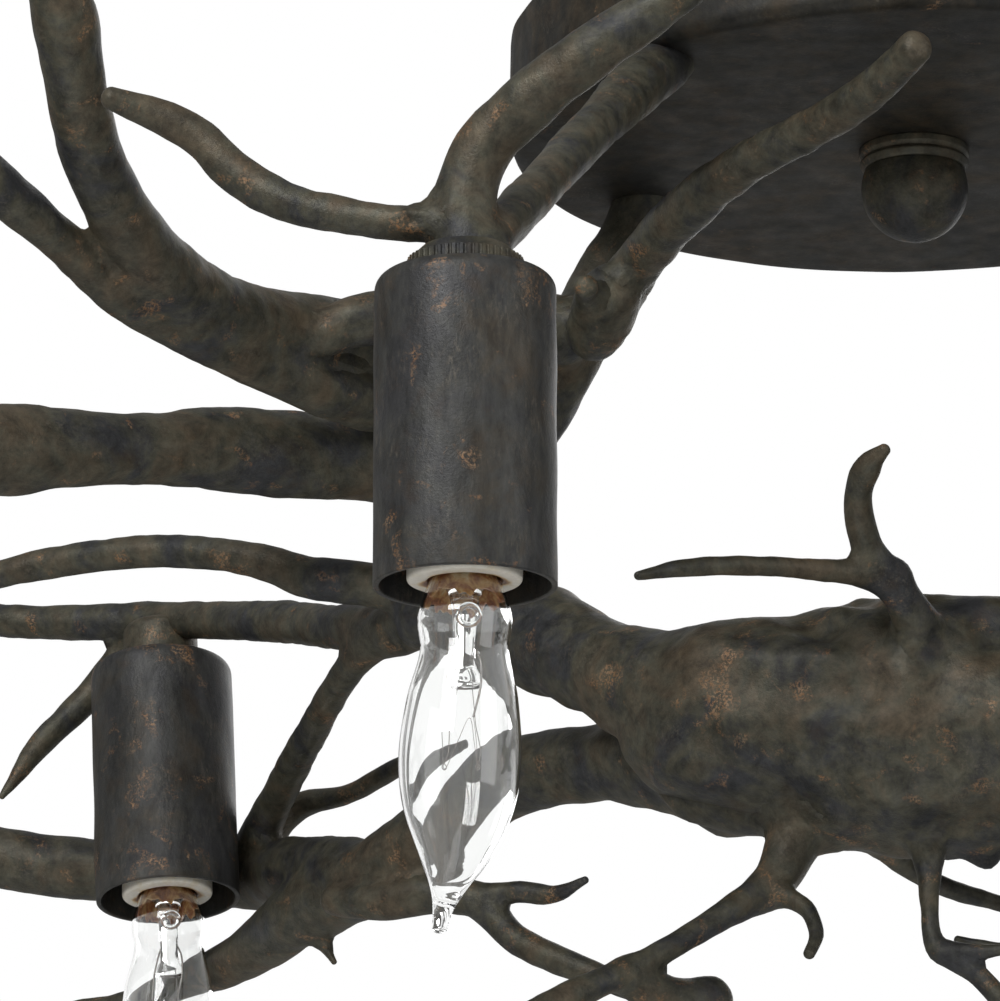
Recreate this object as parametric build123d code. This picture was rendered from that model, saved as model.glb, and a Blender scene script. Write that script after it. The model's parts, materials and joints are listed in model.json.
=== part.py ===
from build123d import *
import math
import os

# A twig-work semi-flush ceiling light: a round canopy, a branched frame of welded rods round a
# swollen hub, and four candelabra lights that hang from the frame in open-bottomed cups.
# Millimetres. The origin is on the ceiling plane at the middle of the canopy, +Z is up, and the
# light hangs below it. Everything but the finest twigs repeats after half a turn about Z.

# Canopy and what holds it to the ceiling
canopy_r = 100
canopy_h = 28
canopy_wall = 1.2
canopy_corner = 4
lead_hole_r = 6
crossbar_length = 110
crossbar_width = 16
crossbar_corner = 3
crossbar_thick = 1.8
slot_spacing = 80
slot_length = 14
slot_width = 4.4
ground_screw_x = 22
ground_screw_r = 2
ground_head_r = 4
ground_head_h = 2.4
pipe_r = 5
pipe_bore_r = 3.6
nut_across_flats = 15
nut_h = 3.2
running_gap = 0.05
seat_gap = 0.3

# Finial under the canopy
ring_r = 13.6
ring_h = 5.5
ring_groove = 0.9
ball_r = 13.2
ball_drop = 4.9
finial_thread_depth = 13

# Where the lights hang, and how far the far ones lean
near_x = -110
near_y = -174
far_x = -196
far_y = 170
cup_top_z = -112
far_lean = 8
far_side_lean = 3
collar_r = 12.4
collar_band_h = 2.65
collar_neck_r = 9.4
knurl_count = 48
knurl_r = 0.45
sleeve_r = 10.2
sleeve_up = 6
sleeve_dome = 3

# Cup and lampholder, heights measured down from the neck that the light hangs from
cup_r = 19.3
cup_low = -74
cup_top = -5.1
cup_flat_r = 12.5
cup_crown_fall = 1.8
cup_round = 4
cup_wall = 1.3
holder_r = 12.1
holder_length = 38
holder_set_up = 1
holder_mouth_r = 8.1
holder_mouth_depth = 5
holder_edge = 1
holder_grip = 6
wire_chamber_r = 4
contact_r = 1.5
contact_head_r = 3
contact_head_h = 1
contact_leaf_h = 0.5
rivet_length = 3
shell_wall = 0.4

# Bulb
base_r = 5.85
base_set_in = 2
base_edge = 1
base_length = 17
thread_gap = 0.1
base_tip_r = 2.4
base_tip_h = 2.2
glass_wall = 0.8
press_foot_r = 3.6
press_foot_h = 5
press_r = 1.9
press_length = 24
support_r = 0.25
support_root = 1.1
support_knee = 2.9
support_spread = 3.6
support_drop = 6
filament_r = 0.12
filament_drop = 10.5

# Leads
lead_r = 2.1
lead_room = 0.4
lead_level = -14
lead_pitch = 4.8
lead_straight = 12
connector_x = -34
connector_r = 6
connector_tip_r = 3.6
connector_length = 18

# Frame of rods: the middle of the hub, and the points where the rods meet
hub_z = -176
near_stem_x = -65
near_stem_y = -62.5
far_stem_x = -68
far_stem_y = 41
fork_x = -118
fork_y = 57
fork_z = -129
nipple_up = -0.5
near_turn_up = 4
far_turn_up = 7

lead_bore_r = lead_r + lead_room
canopy_under = -canopy_h
pan_floor = canopy_under + canopy_wall
near_neck = (near_x, near_y, cup_top_z)
far_neck = (far_x, far_y, cup_top_z)
fork = (fork_x, fork_y, fork_z)
hub = (0, 0, hub_z)
near_root = (near_stem_x, near_stem_y, canopy_under)
far_root = (far_stem_x, far_stem_y, canopy_under)


def beside(point, dx, dy, dz):
    """Point at an offset from another."""
    return (point[0] + dx, point[1] + dy, point[2] + dz)


def between(a, b, share):
    """Point at a share of the way from a to b, or beyond them."""
    return tuple(p + (q - p) * share for p, q in zip(a, b))


def at_height(a, b, z):
    """Point at height z on the line through a and b."""
    return between(a, b, (z - a[2]) / (b[2] - a[2]))


stem_end = beside(near_neck, 3.5, 0, 0)
knuckle = between(far_root, fork, 0.33)
knot = between(far_root, fork, 0.70)
lower_knot = beside(hub, -137, 120, -9)
beam_over_cup = beside(far_neck, 0, 0, far_turn_up)
burl_root = beside(knuckle, 6, -26, 0)
canopy_twig_root = beside(burl_root, -10, 10, -2)
strut_foot = beside(lower_knot, -36, 60, 13)
lead_bend_in_stem = between(near_root, stem_end, 0.93)
lead_bend_in_beam = beside(fork, -49, 78, 14.5)


def rod(start, stations, finish=None, meet=None):
    """Forged rod: round sections (x, y, z, radius) from its start, each square to the run, lofted
    end to end. With a finish, the run is drawn out so that its meet station lands there."""
    last = len(stations) - 1
    meet = meet or last
    drift = (0, 0, 0)
    if finish:
        drift = tuple(f - s - p for f, s, p in zip(finish, start, stations[meet]))
    spots = []
    for k, (x, y, z, r) in enumerate(stations):
        share = min(k / meet, 1)
        spots.append(Vector(*beside(beside(start, x, y, z), *(d * share for d in drift))))
    side = Vector(0.3, 0.2, 0.93)
    sections = []
    for k, spot in enumerate(spots):
        run = (spots[min(k + 1, last)] - spots[max(k - 1, 0)]).normalized()
        side = (side - run * side.dot(run)).normalized()
        sections.append(Plane(origin=spot, x_dir=side, z_dir=run) * Circle(stations[k][3]))
    return loft(sections)


def lead(points, bends, radius):
    """Round lead along straight runs joined by arcs of the given radii."""
    route = FilletPolyline(*points, radius=bends)
    return sweep(Plane(origin=route @ 0, z_dir=route % 0) * Circle(radius), path=route)


def turned(profile):
    """Solid turned about Z from the (radius, height) corners of its half section."""
    return revolve(Plane.XZ * make_face(Polyline(*profile, close=True)), Axis.Z)


def post(radius, low, high):
    """Upright round post between two heights."""
    return extrude(Plane.XY.offset(low) * Circle(radius), high - low)


def welded(rod_shape, *others):
    """A rod cut back to the surfaces it is welded to, without the offcut past the joint."""
    for other in others:
        rod_shape -= other
    return max(rod_shape.solids(), key=lambda piece: piece.volume)


def half_turn(shape):
    """The same piece on the other half of the light."""
    return Rot(0, 0, 180) * shape


def twins(*shapes):
    """Pieces and their copies on the other half, as separate solids."""
    return [*shapes, *(half_turn(s) for s in shapes)]


# Canopy, crossbar and finial
def make_canopy():
    pan = post(canopy_r, canopy_under, 0)
    pan = fillet(pan.edges().group_by(Axis.Z)[0], canopy_corner)
    inside = post(canopy_r - canopy_wall, pan_floor, canopy_h)
    pan -= fillet(inside.edges().group_by(Axis.Z)[0], canopy_corner - canopy_wall)
    pan -= post(pipe_r + running_gap, canopy_under, 0)
    for x, y, z in twins_of_points(near_root, far_root):
        pan -= Pos(x, y, 0) * post(lead_hole_r, canopy_under, 0)
    return pan


def twins_of_points(*points):
    """Points and their copies on the other half."""
    return [*points, *((-x, -y, z) for x, y, z in points)]


def make_crossbar():
    outline = RectangleRounded(crossbar_length, crossbar_width, crossbar_corner)
    for x in (-slot_spacing / 2, slot_spacing / 2):
        outline -= Pos(x, 0) * SlotOverall(slot_length, slot_width)
    outline -= Circle(pipe_r)
    outline -= Pos(ground_screw_x, 0) * Circle(ground_screw_r)
    return extrude(Plane.XY.offset(-crossbar_thick) * outline, crossbar_thick)


def make_ground_screw():
    head = post(ground_head_r, -crossbar_thick - ground_head_h, -crossbar_thick)
    return Pos(ground_screw_x, 0, 0) * (head + post(ground_screw_r, -crossbar_thick, 0))


ring_top = canopy_under
ball_top = ring_top - ring_h
ball_middle = ball_top - ball_drop
pipe_end = ball_top - finial_thread_depth + seat_gap


def make_pipe():
    return post(pipe_r, pipe_end, 0) - post(pipe_bore_r, pipe_end, 0)


def make_nut():
    top = -crossbar_thick
    hexagon = RegularPolygon(nut_across_flats / 2, 6, major_radius=False) - Circle(pipe_r)
    return extrude(Plane.XY.offset(top - nut_h) * hexagon, nut_h)


def make_check_ring():
    groove_z = ring_top - ring_h / 2
    profile = [(pipe_r + running_gap, ring_top), (ring_r, ring_top), (ring_r, groove_z + ring_groove)]
    profile += [(ring_r - ring_groove, groove_z), (ring_r, groove_z - ring_groove)]
    profile += [(ring_r - ring_groove, ball_top), (pipe_r + running_gap, ball_top)]
    return turned(profile)


def make_finial():
    ball = Pos(0, 0, ball_middle) * Sphere(ball_r)
    ball -= post(2 * ball_r, ball_top, 0)
    return ball - post(pipe_r + running_gap, ball_top - finial_thread_depth, ball_top)


# One light, drawn upright with its neck at the origin
holder_low = cup_low + holder_set_up
holder_high = holder_low + holder_length
base_seat = holder_low + base_set_in
base_end = base_seat + base_length
tip_end = base_end + base_tip_h
leaf_low = tip_end + seat_gap
chamber_low = leaf_low + contact_leaf_h + rivet_length
nipple_end = holder_high - holder_grip
lead_end = chamber_low + contact_head_h
shell_bore_r = base_r + thread_gap
shell_r = shell_bore_r + shell_wall
mouth_z = holder_low + holder_mouth_depth


def cup_body(inset):
    """Round body with a low conical crown, drawn in all over by the inset but for its open foot."""
    top = cup_top - inset
    side = cup_r - inset
    foot = cup_low - inset
    corners = [(0, foot), (side, foot), (side, top - cup_crown_fall), (cup_flat_r - inset, top), (0, top)]
    body = turned(corners)
    crown_edge = body.edges().filter_by(GeomType.CIRCLE).group_by(Axis.Z)[1]
    return fillet(crown_edge, cup_round - inset)


def make_cup():
    return cup_body(0) - cup_body(cup_wall) - post(pipe_r + running_gap, cup_low, 0)


def make_holder():
    body = post(holder_r, holder_low, holder_high)
    body = fillet(body.edges().group_by(Axis.Z)[-1], holder_edge)
    body -= turned([(0, holder_low - 1), (holder_mouth_r, holder_low - 1), (holder_mouth_r, holder_low),
                    (shell_r, mouth_z), (0, mouth_z)])
    body -= post(shell_r, holder_low, leaf_low + contact_leaf_h)
    body -= post(contact_r, leaf_low, chamber_low)
    body -= post(wire_chamber_r, chamber_low, holder_high)
    return body - post(pipe_r, nipple_end, holder_high)


def make_screw_shell():
    return post(shell_r, mouth_z, base_end) - post(shell_bore_r, mouth_z, base_end)


def make_contact():
    leaf = post(contact_head_r, leaf_low, leaf_low + contact_leaf_h)
    rivet = post(contact_r, leaf_low, chamber_low)
    return leaf + rivet + post(contact_head_r, chamber_low, lead_end)


def make_nipple(high):
    return post(pipe_r, nipple_end, high) - post(pipe_bore_r, nipple_end, high)


def make_collar():
    """Knurled band on the cup, and above it a plain cone up to the neck."""
    band_top = cup_top + collar_band_h
    band = Circle(collar_r) - PolarLocations(collar_r, knurl_count) * Circle(knurl_r)
    cone = turned([(0, band_top), (collar_r - knurl_r, band_top), (collar_neck_r, 0), (0, 0)])
    collar = extrude(Plane.XY.offset(cup_top) * band, collar_band_h) + cone
    return collar - post(pipe_r, cup_top, 0)


def make_sleeve():
    sleeve = post(sleeve_r, cup_top, sleeve_up)
    sleeve = fillet(sleeve.edges().group_by(Axis.Z)[-1], sleeve_dome)
    return sleeve - post(pipe_r, cup_top, 0)


# Bulb glass: (height below its seat in the holder, radius, how far the axis leans aside)
glass_stations = [
    (0, 6.9, 0), (-4, 8.3, 0), (-10, 9.9, 0), (-15.5, 9.3, 0), (-27, 11.6, -0.5), (-40, 12.7, -1),
    (-50, 11.5, -1.2), (-60.5, 7.3, -1.8), (-68.5, 3.1, -3.6), (-72, 2, -4.5), (-76, 1.6, -5),
]


def glass_body(inset):
    """Flame-shaped bulb outline, drawn in all over by the inset."""
    sections = []
    for k, (z, r, aside) in enumerate(glass_stations):
        lift = {0: -inset, len(glass_stations) - 1: inset}.get(k, 0)
        sections.append(Pos(aside, 0, base_seat + z + lift) * Circle(r - inset))
    return loft(sections)


def make_glass():
    return glass_body(0) - glass_body(glass_wall)


def make_base():
    skirt = post(base_r, base_seat, base_end)
    tip = turned([(0, base_end), (base_r - base_edge, base_end), (base_tip_r, tip_end), (0, tip_end)])
    return skirt + tip


def make_mount():
    """Glass stem, its two support wires and the filament drawn between them in a V."""
    top = base_seat - glass_wall
    low = top - press_length
    foot = turned([(0, top), (press_foot_r, top), (press_r, top - press_foot_h), (press_r, low), (0, low)])
    supports = []
    arms = []
    for way in (-1, 1):
        points = [(support_root, 0), (support_knee, -support_drop / 2), (support_spread, -support_drop)]
        supports.append(rod((0, 0, low), [(way * x, 0, z, support_r) for x, z in points]))
        slope = [(way * support_spread, 0, -support_drop, filament_r),
                 (0, 0, -support_drop - filament_drop, filament_r)]
        arms.append(rod((0, 0, low), slope))
    return [foot, *supports, *arms]


# Frame of rods. Stations are (x, y, z, radius) from the rod's start. Where two rods meet, the one
# made later is cut to the surface of the one it is welded to.
hub_stations = [(-64, 11, 1, 10), (-50, 8, 1.5, 21), (-30, 4, 1.5, 28), (-10, 1, 0.5, 30.6)]
stem_near_stations = [(4, 10, 7, 7.6), (-19, -51, -38, 5.4), (-41.5, -111.5, -84, 5)]
stem_far_stations = [
    (5, -1, 9, 7.6), (-2, 1, -8.5, 7.4), (-8, 1, -18.5, 7.6), (-16, 3, -36, 8.4),
    (-35, 9, -71, 8.4), (-50, 16, -101, 8.3), (-54, 17, -106.5, 6.5),
]
beam_stations = [
    (-1, 2, 0, 7.4), (-7.5, 15, -2, 7.3), (-24, 38, 3, 5.9), (-38, 61, 10, 5.8), (-60, 93, 19, 5.1),
    (-78, 113, 24, 5.2), (-98, 124, 26.5, 5), (-115, 132, 28.5, 4.7), (-131.5, 138, 32, 4.2),
    (-141, 141, 38, 2.2),
]
upper_arm_stations = [
    (-14, -2, 3, 19), (-40, 0, 8, 20.5), (-60.5, 12, 11.5, 15.8), (-79, 30, 24, 12.4),
    (-93, 46, 35.5, 13), (-108, 54, 42.5, 11), (-118, 57, 47, 7.5),
]
lower_arm_stations = [
    (-12, 8, -4, 15), (-39, 20, -4.5, 18.3), (-58, 40, 2.5, 13.6), (-78, 60, 6, 9.7),
    (-98.5, 80, 6.5, 9.6), (-119, 100, -2.5, 9.1), (-136.5, 120, -11.5, 9.5), (-155, 142, -16, 8.8),
    (-171.5, 162, -24, 6.4), (-188, 180, -27.5, 4.6), (-207.5, 194, -31.5, 3.4),
    (-220, 200, -31, 1.8),
]
knotted_limb_stations = [
    (3, 0, 0, 8), (-20, -6, 4, 11.4), (-42, -16, 2, 11), (-69, -28, 0.5, 10.6), (-91, -40, -3, 8.9),
    (-107, -48, -5, 10), (-121, -54, -7.5, 10.7), (-140, -62, -9, 10.2), (-161, -72, -5, 7.2),
    (-179, -84, 3, 4.1),
]
rising_limb_stations = [
    (-7, 24, -1, 7.6), (-11, 10, -4, 9.4), (-27, 6, -8, 10.5), (-50, 0, -13, 10.6),
    (-66, -20, -14.5, 8.8), (-93.5, -55, -19, 9.3), (-108.5, -85, -12.5, 8), (-118, -110, 0, 7.1),
    (-121.5, -128, 13.5, 7), (-124, -140, 26.5, 7), (-127, -146, 31, 4.5),
]
slim_limb_stations = [
    (-32, 8, -18, 7.5), (-50, 0, -26, 7.5), (-66, -20, -29, 6.9), (-78, -32, -27.5, 6.3),
    (-96, -52, -25, 6), (-114.5, -75, -20.5, 5.9), (-127.5, -95, -14, 4.9), (-140, -110, -7, 6),
    (-156, -130, 1, 5), (-170, -145, 10, 2.7),
]
arch_stations = [
    (-4, 5, 2, 5.6), (-18, 5, 6, 5.6), (-32, 7, 8, 5.6), (-44, 11, 13, 4.5), (-70, 23, 19.5, 4.3),
    (-99, 35, 20, 4.1), (-116, 41, 18, 3.8), (-137, 51, 13, 2.9), (-146, 55, 9, 1.6),
]
low_limb_stations = [
    (0, 0, -0.5, 7), (-2, 4, 0, 8.4), (-19, 35, 7, 8.9), (-37, 66, 11, 8.5), (-57, 74, 14, 8.3),
    (-77, 76, 15.5, 8.5), (-104, 78, 19.5, 8.2), (-122, 81, 26, 6), (-130, 83, 30, 3.2),
]
strut_stations = [
    (-13.5, 19, -2, 4.7), (-22.5, 35, -7.5, 4.1), (-37, 79, -19.5, 4.3), (-48.5, 111, -32.5, 4.8),
    (-55, 123, -43, 5.4),
]
neck_branch_stations = [
    (0, 1, -1, 6.6), (0, 1, 9, 6.5), (1, 1, 16, 6.5), (5, -1, 24, 6.2), (16, -7, 33, 6),
    (28, -13, 41, 5.7), (41, -16, 49, 5.3), (52, -18, 59, 4.7), (58, -19, 70, 3.6),
    (63, -19, 76, 1.8),
]
side_branch_stations = [
    (-1, 1, 7.5, 4.3), (-14, 0, 6, 3.8), (-27, 2, 8.5, 4), (-39.5, 4, 12.5, 4.4),
    (-50, 6, 19.5, 4.4), (-57.5, 6, 27.5, 4.1), (-68, 4, 32.5, 3.6), (-76, 1, 34.5, 2.5),
]
canopy_twig_stations = [
    (1, 0, -2, 6), (13, -14, 0, 6), (19, -30, 4.5, 6), (31, -60, 10, 5.6), (45, -85, 13, 5),
    (60, -105, 15, 4.7), (72, -125, 17, 4.4), (80, -140, 21, 3.9),
]
canopy_twig_turn = 120

# Twigs, from the middle of the hub, each with the twigs that spring from it
long_twig = [
    (-27, 0, -16, 7.5), (-31, 0, -23.5, 7.2), (-37.5, -5, -37.5, 4.9), (-51, -12, -48, 3.3),
    (-70, -20, -60.5, 2.9), (-84, -28, -68.5, 3.5), (-98, -35, -76, 2.8), (-108, -41, -81, 1.3),
]
long_twig_spur = [
    (-39.5, -6, -39.5, 3.1), (-30, -14, -47, 1.9), (-28.5, -18, -53, 1.8), (-30.5, -22, -58.5, 1.3),
]
long_twig_stub = [(-73, -20, -64, 4), (-62, -14, -68.5, 5.9), (-53, -10, -67.5, 5.9)]
fork_twig = [
    (-2, -5, -26, 6.2), (-1, -5, -30, 4.6), (-1, -8, -43, 2.3), (0, -10, -54, 2.1),
    (10, -12, -62, 2.5), (17, -14, -70, 2.6), (26, -16, -77, 1.4),
]
fork_twig_spur = [(1, -10, -55.5, 2), (15, -14, -56, 1.4), (27, -18, -53, 1)]
low_twig = [
    (-11, 16, -22, 3), (-9, 16, -25, 2.9), (4, 22, -33, 2.3), (19, 28, -36.5, 2),
    (35, 33, -41, 1.3),
]
top_twig = [
    (-2, -16, 11, 7.1), (-2, -18, 13, 7.1), (-4, -28, 18.5, 5.4), (-8.5, -35, 24.5, 4),
    (-16.5, -42, 34.5, 3.7), (-19, -50, 45, 3.3), (-16.5, -58, 50.5, 3), (-13.5, -62, 52.5, 1.4),
]
top_twig_spur = [
    (-10, -36, 29, 4), (-26, -45, 28, 2.8), (-47, -55, 26.5, 2.3), (-61, -62, 24, 2.1),
    (-71, -67, 21, 1.2),
]
arm_twig = [
    (-146, 116, -18, 4), (-134, 108, -20, 5), (-120, 100.5, -19.5, 5), (-110, 96, -21.5, 4.4),
    (-98.5, 92, -33, 3.7), (-87.5, 86, -39.5, 3.7), (-74.5, 80, -46, 3), (-63, 75, -53, 1.6),
]
arm_twig_spur = [
    (-112.5, 96, -22, 2.6), (-98, 90, -21, 2.8), (-89, 86, -22.5, 2.3), (-81, 80, -20, 1),
]
arm_thorn = [
    (-154, 141, -15, 3.6), (-152.5, 141, -20, 2.8), (-150, 141, -24, 1.7), (-146.5, 139, -30, 0.7),
]
back_twig_shift = (34, -8, 4)
# Twigs of the low limb, from its start, and of the beam, from where it crosses the far cup
low_limb_twig = [
    (-36, 62, 13, 4.1), (-20, 50, 28, 3.5), (-7, 40, 29, 2.7), (7.5, 28, 34, 2.7),
    (26, 10, 36, 1.3),
]
beam_twig = [
    (-3, 6, 1, 4.7), (-9, 10, -5, 4.7), (-19.5, 12, -17.5, 4.1), (-33.5, 10, -33, 3.3),
    (-43, 6, -48, 1),
]

far_place = Pos(*far_neck) * Rot(-far_lean, -far_side_lean, 0)
near_place = Pos(*near_neck)


def axis_point(place, height):
    """Point on a light's own axis, at a height from the top of its cup."""
    return tuple((place * Pos(0, 0, height)).position)


def lead_route(place, root, through, turn_up, side):
    """Corners of a lead from its wire connector through the canopy and the rods to its lampholder."""
    start = (connector_x, side * lead_pitch / 2, lead_level)
    last_turn = axis_point(place, turn_up)
    over_hole = at_height(root, through[0], lead_level)
    return [start, beside(start, -lead_straight, 0, 0), over_hole, *through, last_turn,
            axis_point(place, lead_end)]


near_route = lead_route(near_place, near_root, [lead_bend_in_stem], near_turn_up, -1)
through_beam = [fork, beside(fork, *beam_stations[2][:3]), lead_bend_in_beam]
far_route = lead_route(far_place, far_root, through_beam, far_turn_up, 1)
near_bends = [7, 20, 12, 6]
far_bends = [7, 10, 9, 40, 60, 4]


def make_connector():
    cone = Plane(origin=(connector_x, 0, lead_level), z_dir=(1, 0, 0))
    return loft([cone * Circle(connector_r), cone.offset(connector_length) * Circle(connector_tip_r)])


def make_frame():
    """The rods of one half, and the hub, cut where they meet. Twins are made by the half turn."""
    ceiling = post(2 * canopy_r, canopy_under, 2 * canopy_h)
    near_bore = lead(near_route, near_bends, lead_bore_r)
    far_bore = lead(far_route, far_bends, lead_bore_r)
    near_seat = near_place * post(2 * cup_r, cup_low, 0)
    far_seat = far_place * post(cup_r, cup_low, 0)
    mirrored = [(-x, -y, z, r) for x, y, z, r in reversed(hub_stations)]

    hub_burl = rod(hub, hub_stations + mirrored)
    stem_far = welded(rod(far_root, stem_far_stations, fork, 5), ceiling)
    beam = welded(rod(fork, beam_stations, beam_over_cup, 5), stem_far, far_seat)
    upper_arm = welded(rod(hub, upper_arm_stations, fork), hub_burl, stem_far, beam)
    lower_arm = welded(rod(hub, lower_arm_stations), hub_burl, upper_arm)
    knotted_limb = welded(rod(knot, knotted_limb_stations), stem_far)
    rising_limb = welded(rod(burl_root, rising_limb_stations), stem_far, knotted_limb)
    slim_limb = welded(rod(burl_root, slim_limb_stations), rising_limb, knotted_limb, stem_far)
    arch = welded(rod(fork, arch_stations), stem_far, beam, upper_arm)
    low_limb = welded(rod(lower_knot, low_limb_stations), lower_arm)
    strut = welded(rod(fork, strut_stations, strut_foot), beam, upper_arm, low_limb)
    neck_branch = welded(rod(near_neck, neck_branch_stations), near_seat)
    side_branch = welded(rod(near_neck, side_branch_stations), near_seat, neck_branch)
    stem_near = rod(near_root, stem_near_stations, stem_end)
    stem_near = welded(stem_near, ceiling, near_seat, neck_branch, side_branch)
    sleeve = welded(far_place * make_sleeve(), beam, far_bore)

    limb_twig = welded(rod(lower_knot, low_limb_twig), low_limb, strut)
    hanging_twig = welded(rod(beam_over_cup, beam_twig), beam, far_seat, sleeve)
    rods = {
        "hub_burl": [hub_burl],
        "stem_near": [welded(stem_near, near_bore)],
        "stem_far": [welded(stem_far, far_bore)],
        "far_beam": [welded(beam, far_bore)],
        "hub_arm_upper": [upper_arm],
        "hub_arm_lower": [lower_arm],
        "knotted_limb": [knotted_limb],
        "rising_limb": [rising_limb],
        "slim_limb": [slim_limb],
        "arch_rod": [arch],
        "low_limb": [low_limb],
        "struts": [strut],
        "neck_sleeves": [sleeve],
        "neck_branches": [welded(neck_branch, near_bore), welded(side_branch, near_bore)],
    }
    return rods, [limb_twig, hanging_twig]


def make_hub_twigs(hub_burl, upper_arm, lower_arm):
    """Twigs of the hub and its arms: most have a twin, the finest are placed by hand on each half."""
    arms = [upper_arm, lower_arm]
    middle = [hub_burl, *twins(*arms)]
    long_one = welded(rod(hub, long_twig), *middle)
    arm_one = welded(rod(hub, arm_twig), *arms)
    both = [long_one, welded(rod(hub, long_twig_spur), long_one)]
    both.append(welded(rod(hub, long_twig_stub), long_one))
    both += [arm_one, welded(rod(hub, arm_twig_spur), arm_one, *arms), welded(rod(hub, arm_thorn), *arms)]
    around = [*middle, long_one, half_turn(long_one)]
    single = []
    for shift in (Pos(0, 0, 0), Pos(*back_twig_shift) * Rot(0, 0, 180)):
        forked = welded(shift * rod(hub, fork_twig), *around)
        upright = welded(shift * rod(hub, top_twig), *middle)
        single += [forked, welded(shift * rod(hub, fork_twig_spur), forked)]
        single += [upright, welded(shift * rod(hub, top_twig_spur), upright)]
    single.append(welded(rod(hub, low_twig), *middle))
    return twins(*both) + single


def make_canopy_twigs(rising_limb):
    """A long twig off the root of each rising limb, the second one turned to another side."""
    twig = rod((0, 0, 0), canopy_twig_stations)
    x, y, z = canopy_twig_root
    first = Pos(x, y, z) * twig
    other = Pos(-x, -y, z) * Rot(0, 0, canopy_twig_turn) * twig
    return [welded(first, rising_limb), welded(other, half_turn(rising_limb))]


def write_node(name, shapes):
    """One STEP file for one node, from its separate solids."""
    solids = [solid for shape in shapes for solid in shape.solids()]
    whole = solids[0] if len(solids) == 1 else Compound(children=solids)
    whole.label = name
    export_step(whole, f"parts/{name}.step")


def main():
    os.makedirs("parts", exist_ok=True)
    rods, limb_twigs = make_frame()
    nodes = {"hub_burl": rods.pop("hub_burl")}
    for name, shapes in rods.items():
        if name in ("struts", "neck_sleeves", "neck_branches"):
            nodes[name] = twins(*shapes)
        else:
            nodes[name + "_1"] = shapes
            nodes[name + "_2"] = [half_turn(s) for s in shapes]
    nodes["canopy_twigs"] = make_canopy_twigs(*rods["rising_limb"])
    nodes["hub_twigs"] = make_hub_twigs(*nodes["hub_burl"], *rods["hub_arm_upper"], *rods["hub_arm_lower"])
    nodes["hub_twigs"] += twins(*limb_twigs)

    nodes["canopy_pan"] = [make_canopy()]
    nodes["mounting_crossbar"] = [make_crossbar()]
    nodes["ground_screw"] = [make_ground_screw()]
    nodes["centre_pipe"] = [make_pipe()]
    nodes["pipe_locknut"] = [make_nut()]
    nodes["finial_check_ring"] = [make_check_ring()]
    nodes["finial_ball"] = [make_finial()]
    nodes["wire_connectors"] = twins(make_connector())
    nodes["near_leads"] = twins(lead(near_route, near_bends, lead_r))
    nodes["far_leads"] = twins(lead(far_route, far_bends, lead_r))

    places = [near_place, far_place, half_turn(near_place), half_turn(far_place)]
    for k, place in enumerate(places, 1):
        nodes[f"light_cup_{k}"] = [place * make_cup()]
        nodes[f"lampholder_{k}"] = [place * make_holder()]
        nodes[f"bulb_glass_{k}"] = [place * make_glass()]
        nodes[f"bulb_base_{k}"] = [place * make_base()]
        nodes[f"bulb_mount_{k}"] = [place * piece for piece in make_mount()]
        nodes.setdefault("screw_shells", []).append(place * make_screw_shell())
        nodes.setdefault("centre_contacts", []).append(place * make_contact())
        nodes.setdefault("holder_nipples", []).append(place * make_nipple(nipple_up))
    nodes["knurled_collars"] = twins(near_place * make_collar())
    for name, shapes in nodes.items():
        write_node(name, shapes)


main()
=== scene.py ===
# %% [markdown]
# # A twig-work semi-flush ceiling light
# The real light is a round canopy against the ceiling, a frame of forged and cast rods that branch
# like twigs from a swollen hub, and four candelabra lights in open-bottomed cups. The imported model
# holds every piece at its real size and place, so it is loaded first and never moved. What follows
# dresses it: smooth lumpy rods in place of the plain lofts, blown glass, fired porcelain, and one
# dark bronze finish with rust in it.

# %% Load the frame
import json
import math

import bpy
import numpy as np
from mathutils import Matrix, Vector


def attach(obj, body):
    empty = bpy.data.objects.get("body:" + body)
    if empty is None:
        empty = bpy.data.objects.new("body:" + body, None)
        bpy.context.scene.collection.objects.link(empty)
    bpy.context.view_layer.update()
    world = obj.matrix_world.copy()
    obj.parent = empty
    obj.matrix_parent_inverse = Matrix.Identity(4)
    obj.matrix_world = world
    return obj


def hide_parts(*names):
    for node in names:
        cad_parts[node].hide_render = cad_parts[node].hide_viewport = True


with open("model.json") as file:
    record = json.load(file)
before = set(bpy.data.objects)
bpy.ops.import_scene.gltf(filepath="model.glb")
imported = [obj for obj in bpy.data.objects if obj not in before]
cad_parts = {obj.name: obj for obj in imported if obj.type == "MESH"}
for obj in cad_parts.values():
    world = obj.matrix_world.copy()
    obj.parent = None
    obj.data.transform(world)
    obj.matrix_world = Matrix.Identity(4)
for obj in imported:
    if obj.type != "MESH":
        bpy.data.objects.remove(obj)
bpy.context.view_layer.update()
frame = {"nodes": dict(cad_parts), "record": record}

MM = 0.001

# %% [markdown]
# ## The camera
# A product photograph of a ceiling light is taken from a few feet off with a long lens, looking up
# a little. The long lens keeps the near and the far cup close in size, and the small upward tilt
# shows the underside of the canopy. The image is 1000 by 1001, so the sensor's width goes with the
# longer side, and the focal length in pixels turns into millimetres by simple proportion.

# %% Camera
IMAGE_LONG_SIDE = 1001
FOCAL_PIXELS = 5280
SENSOR_MM = 36
camera_place = (-102.7 * MM, -1237.6 * MM, -466.2 * MM)
camera_tilt = math.radians(90 + 15.7)

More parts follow.
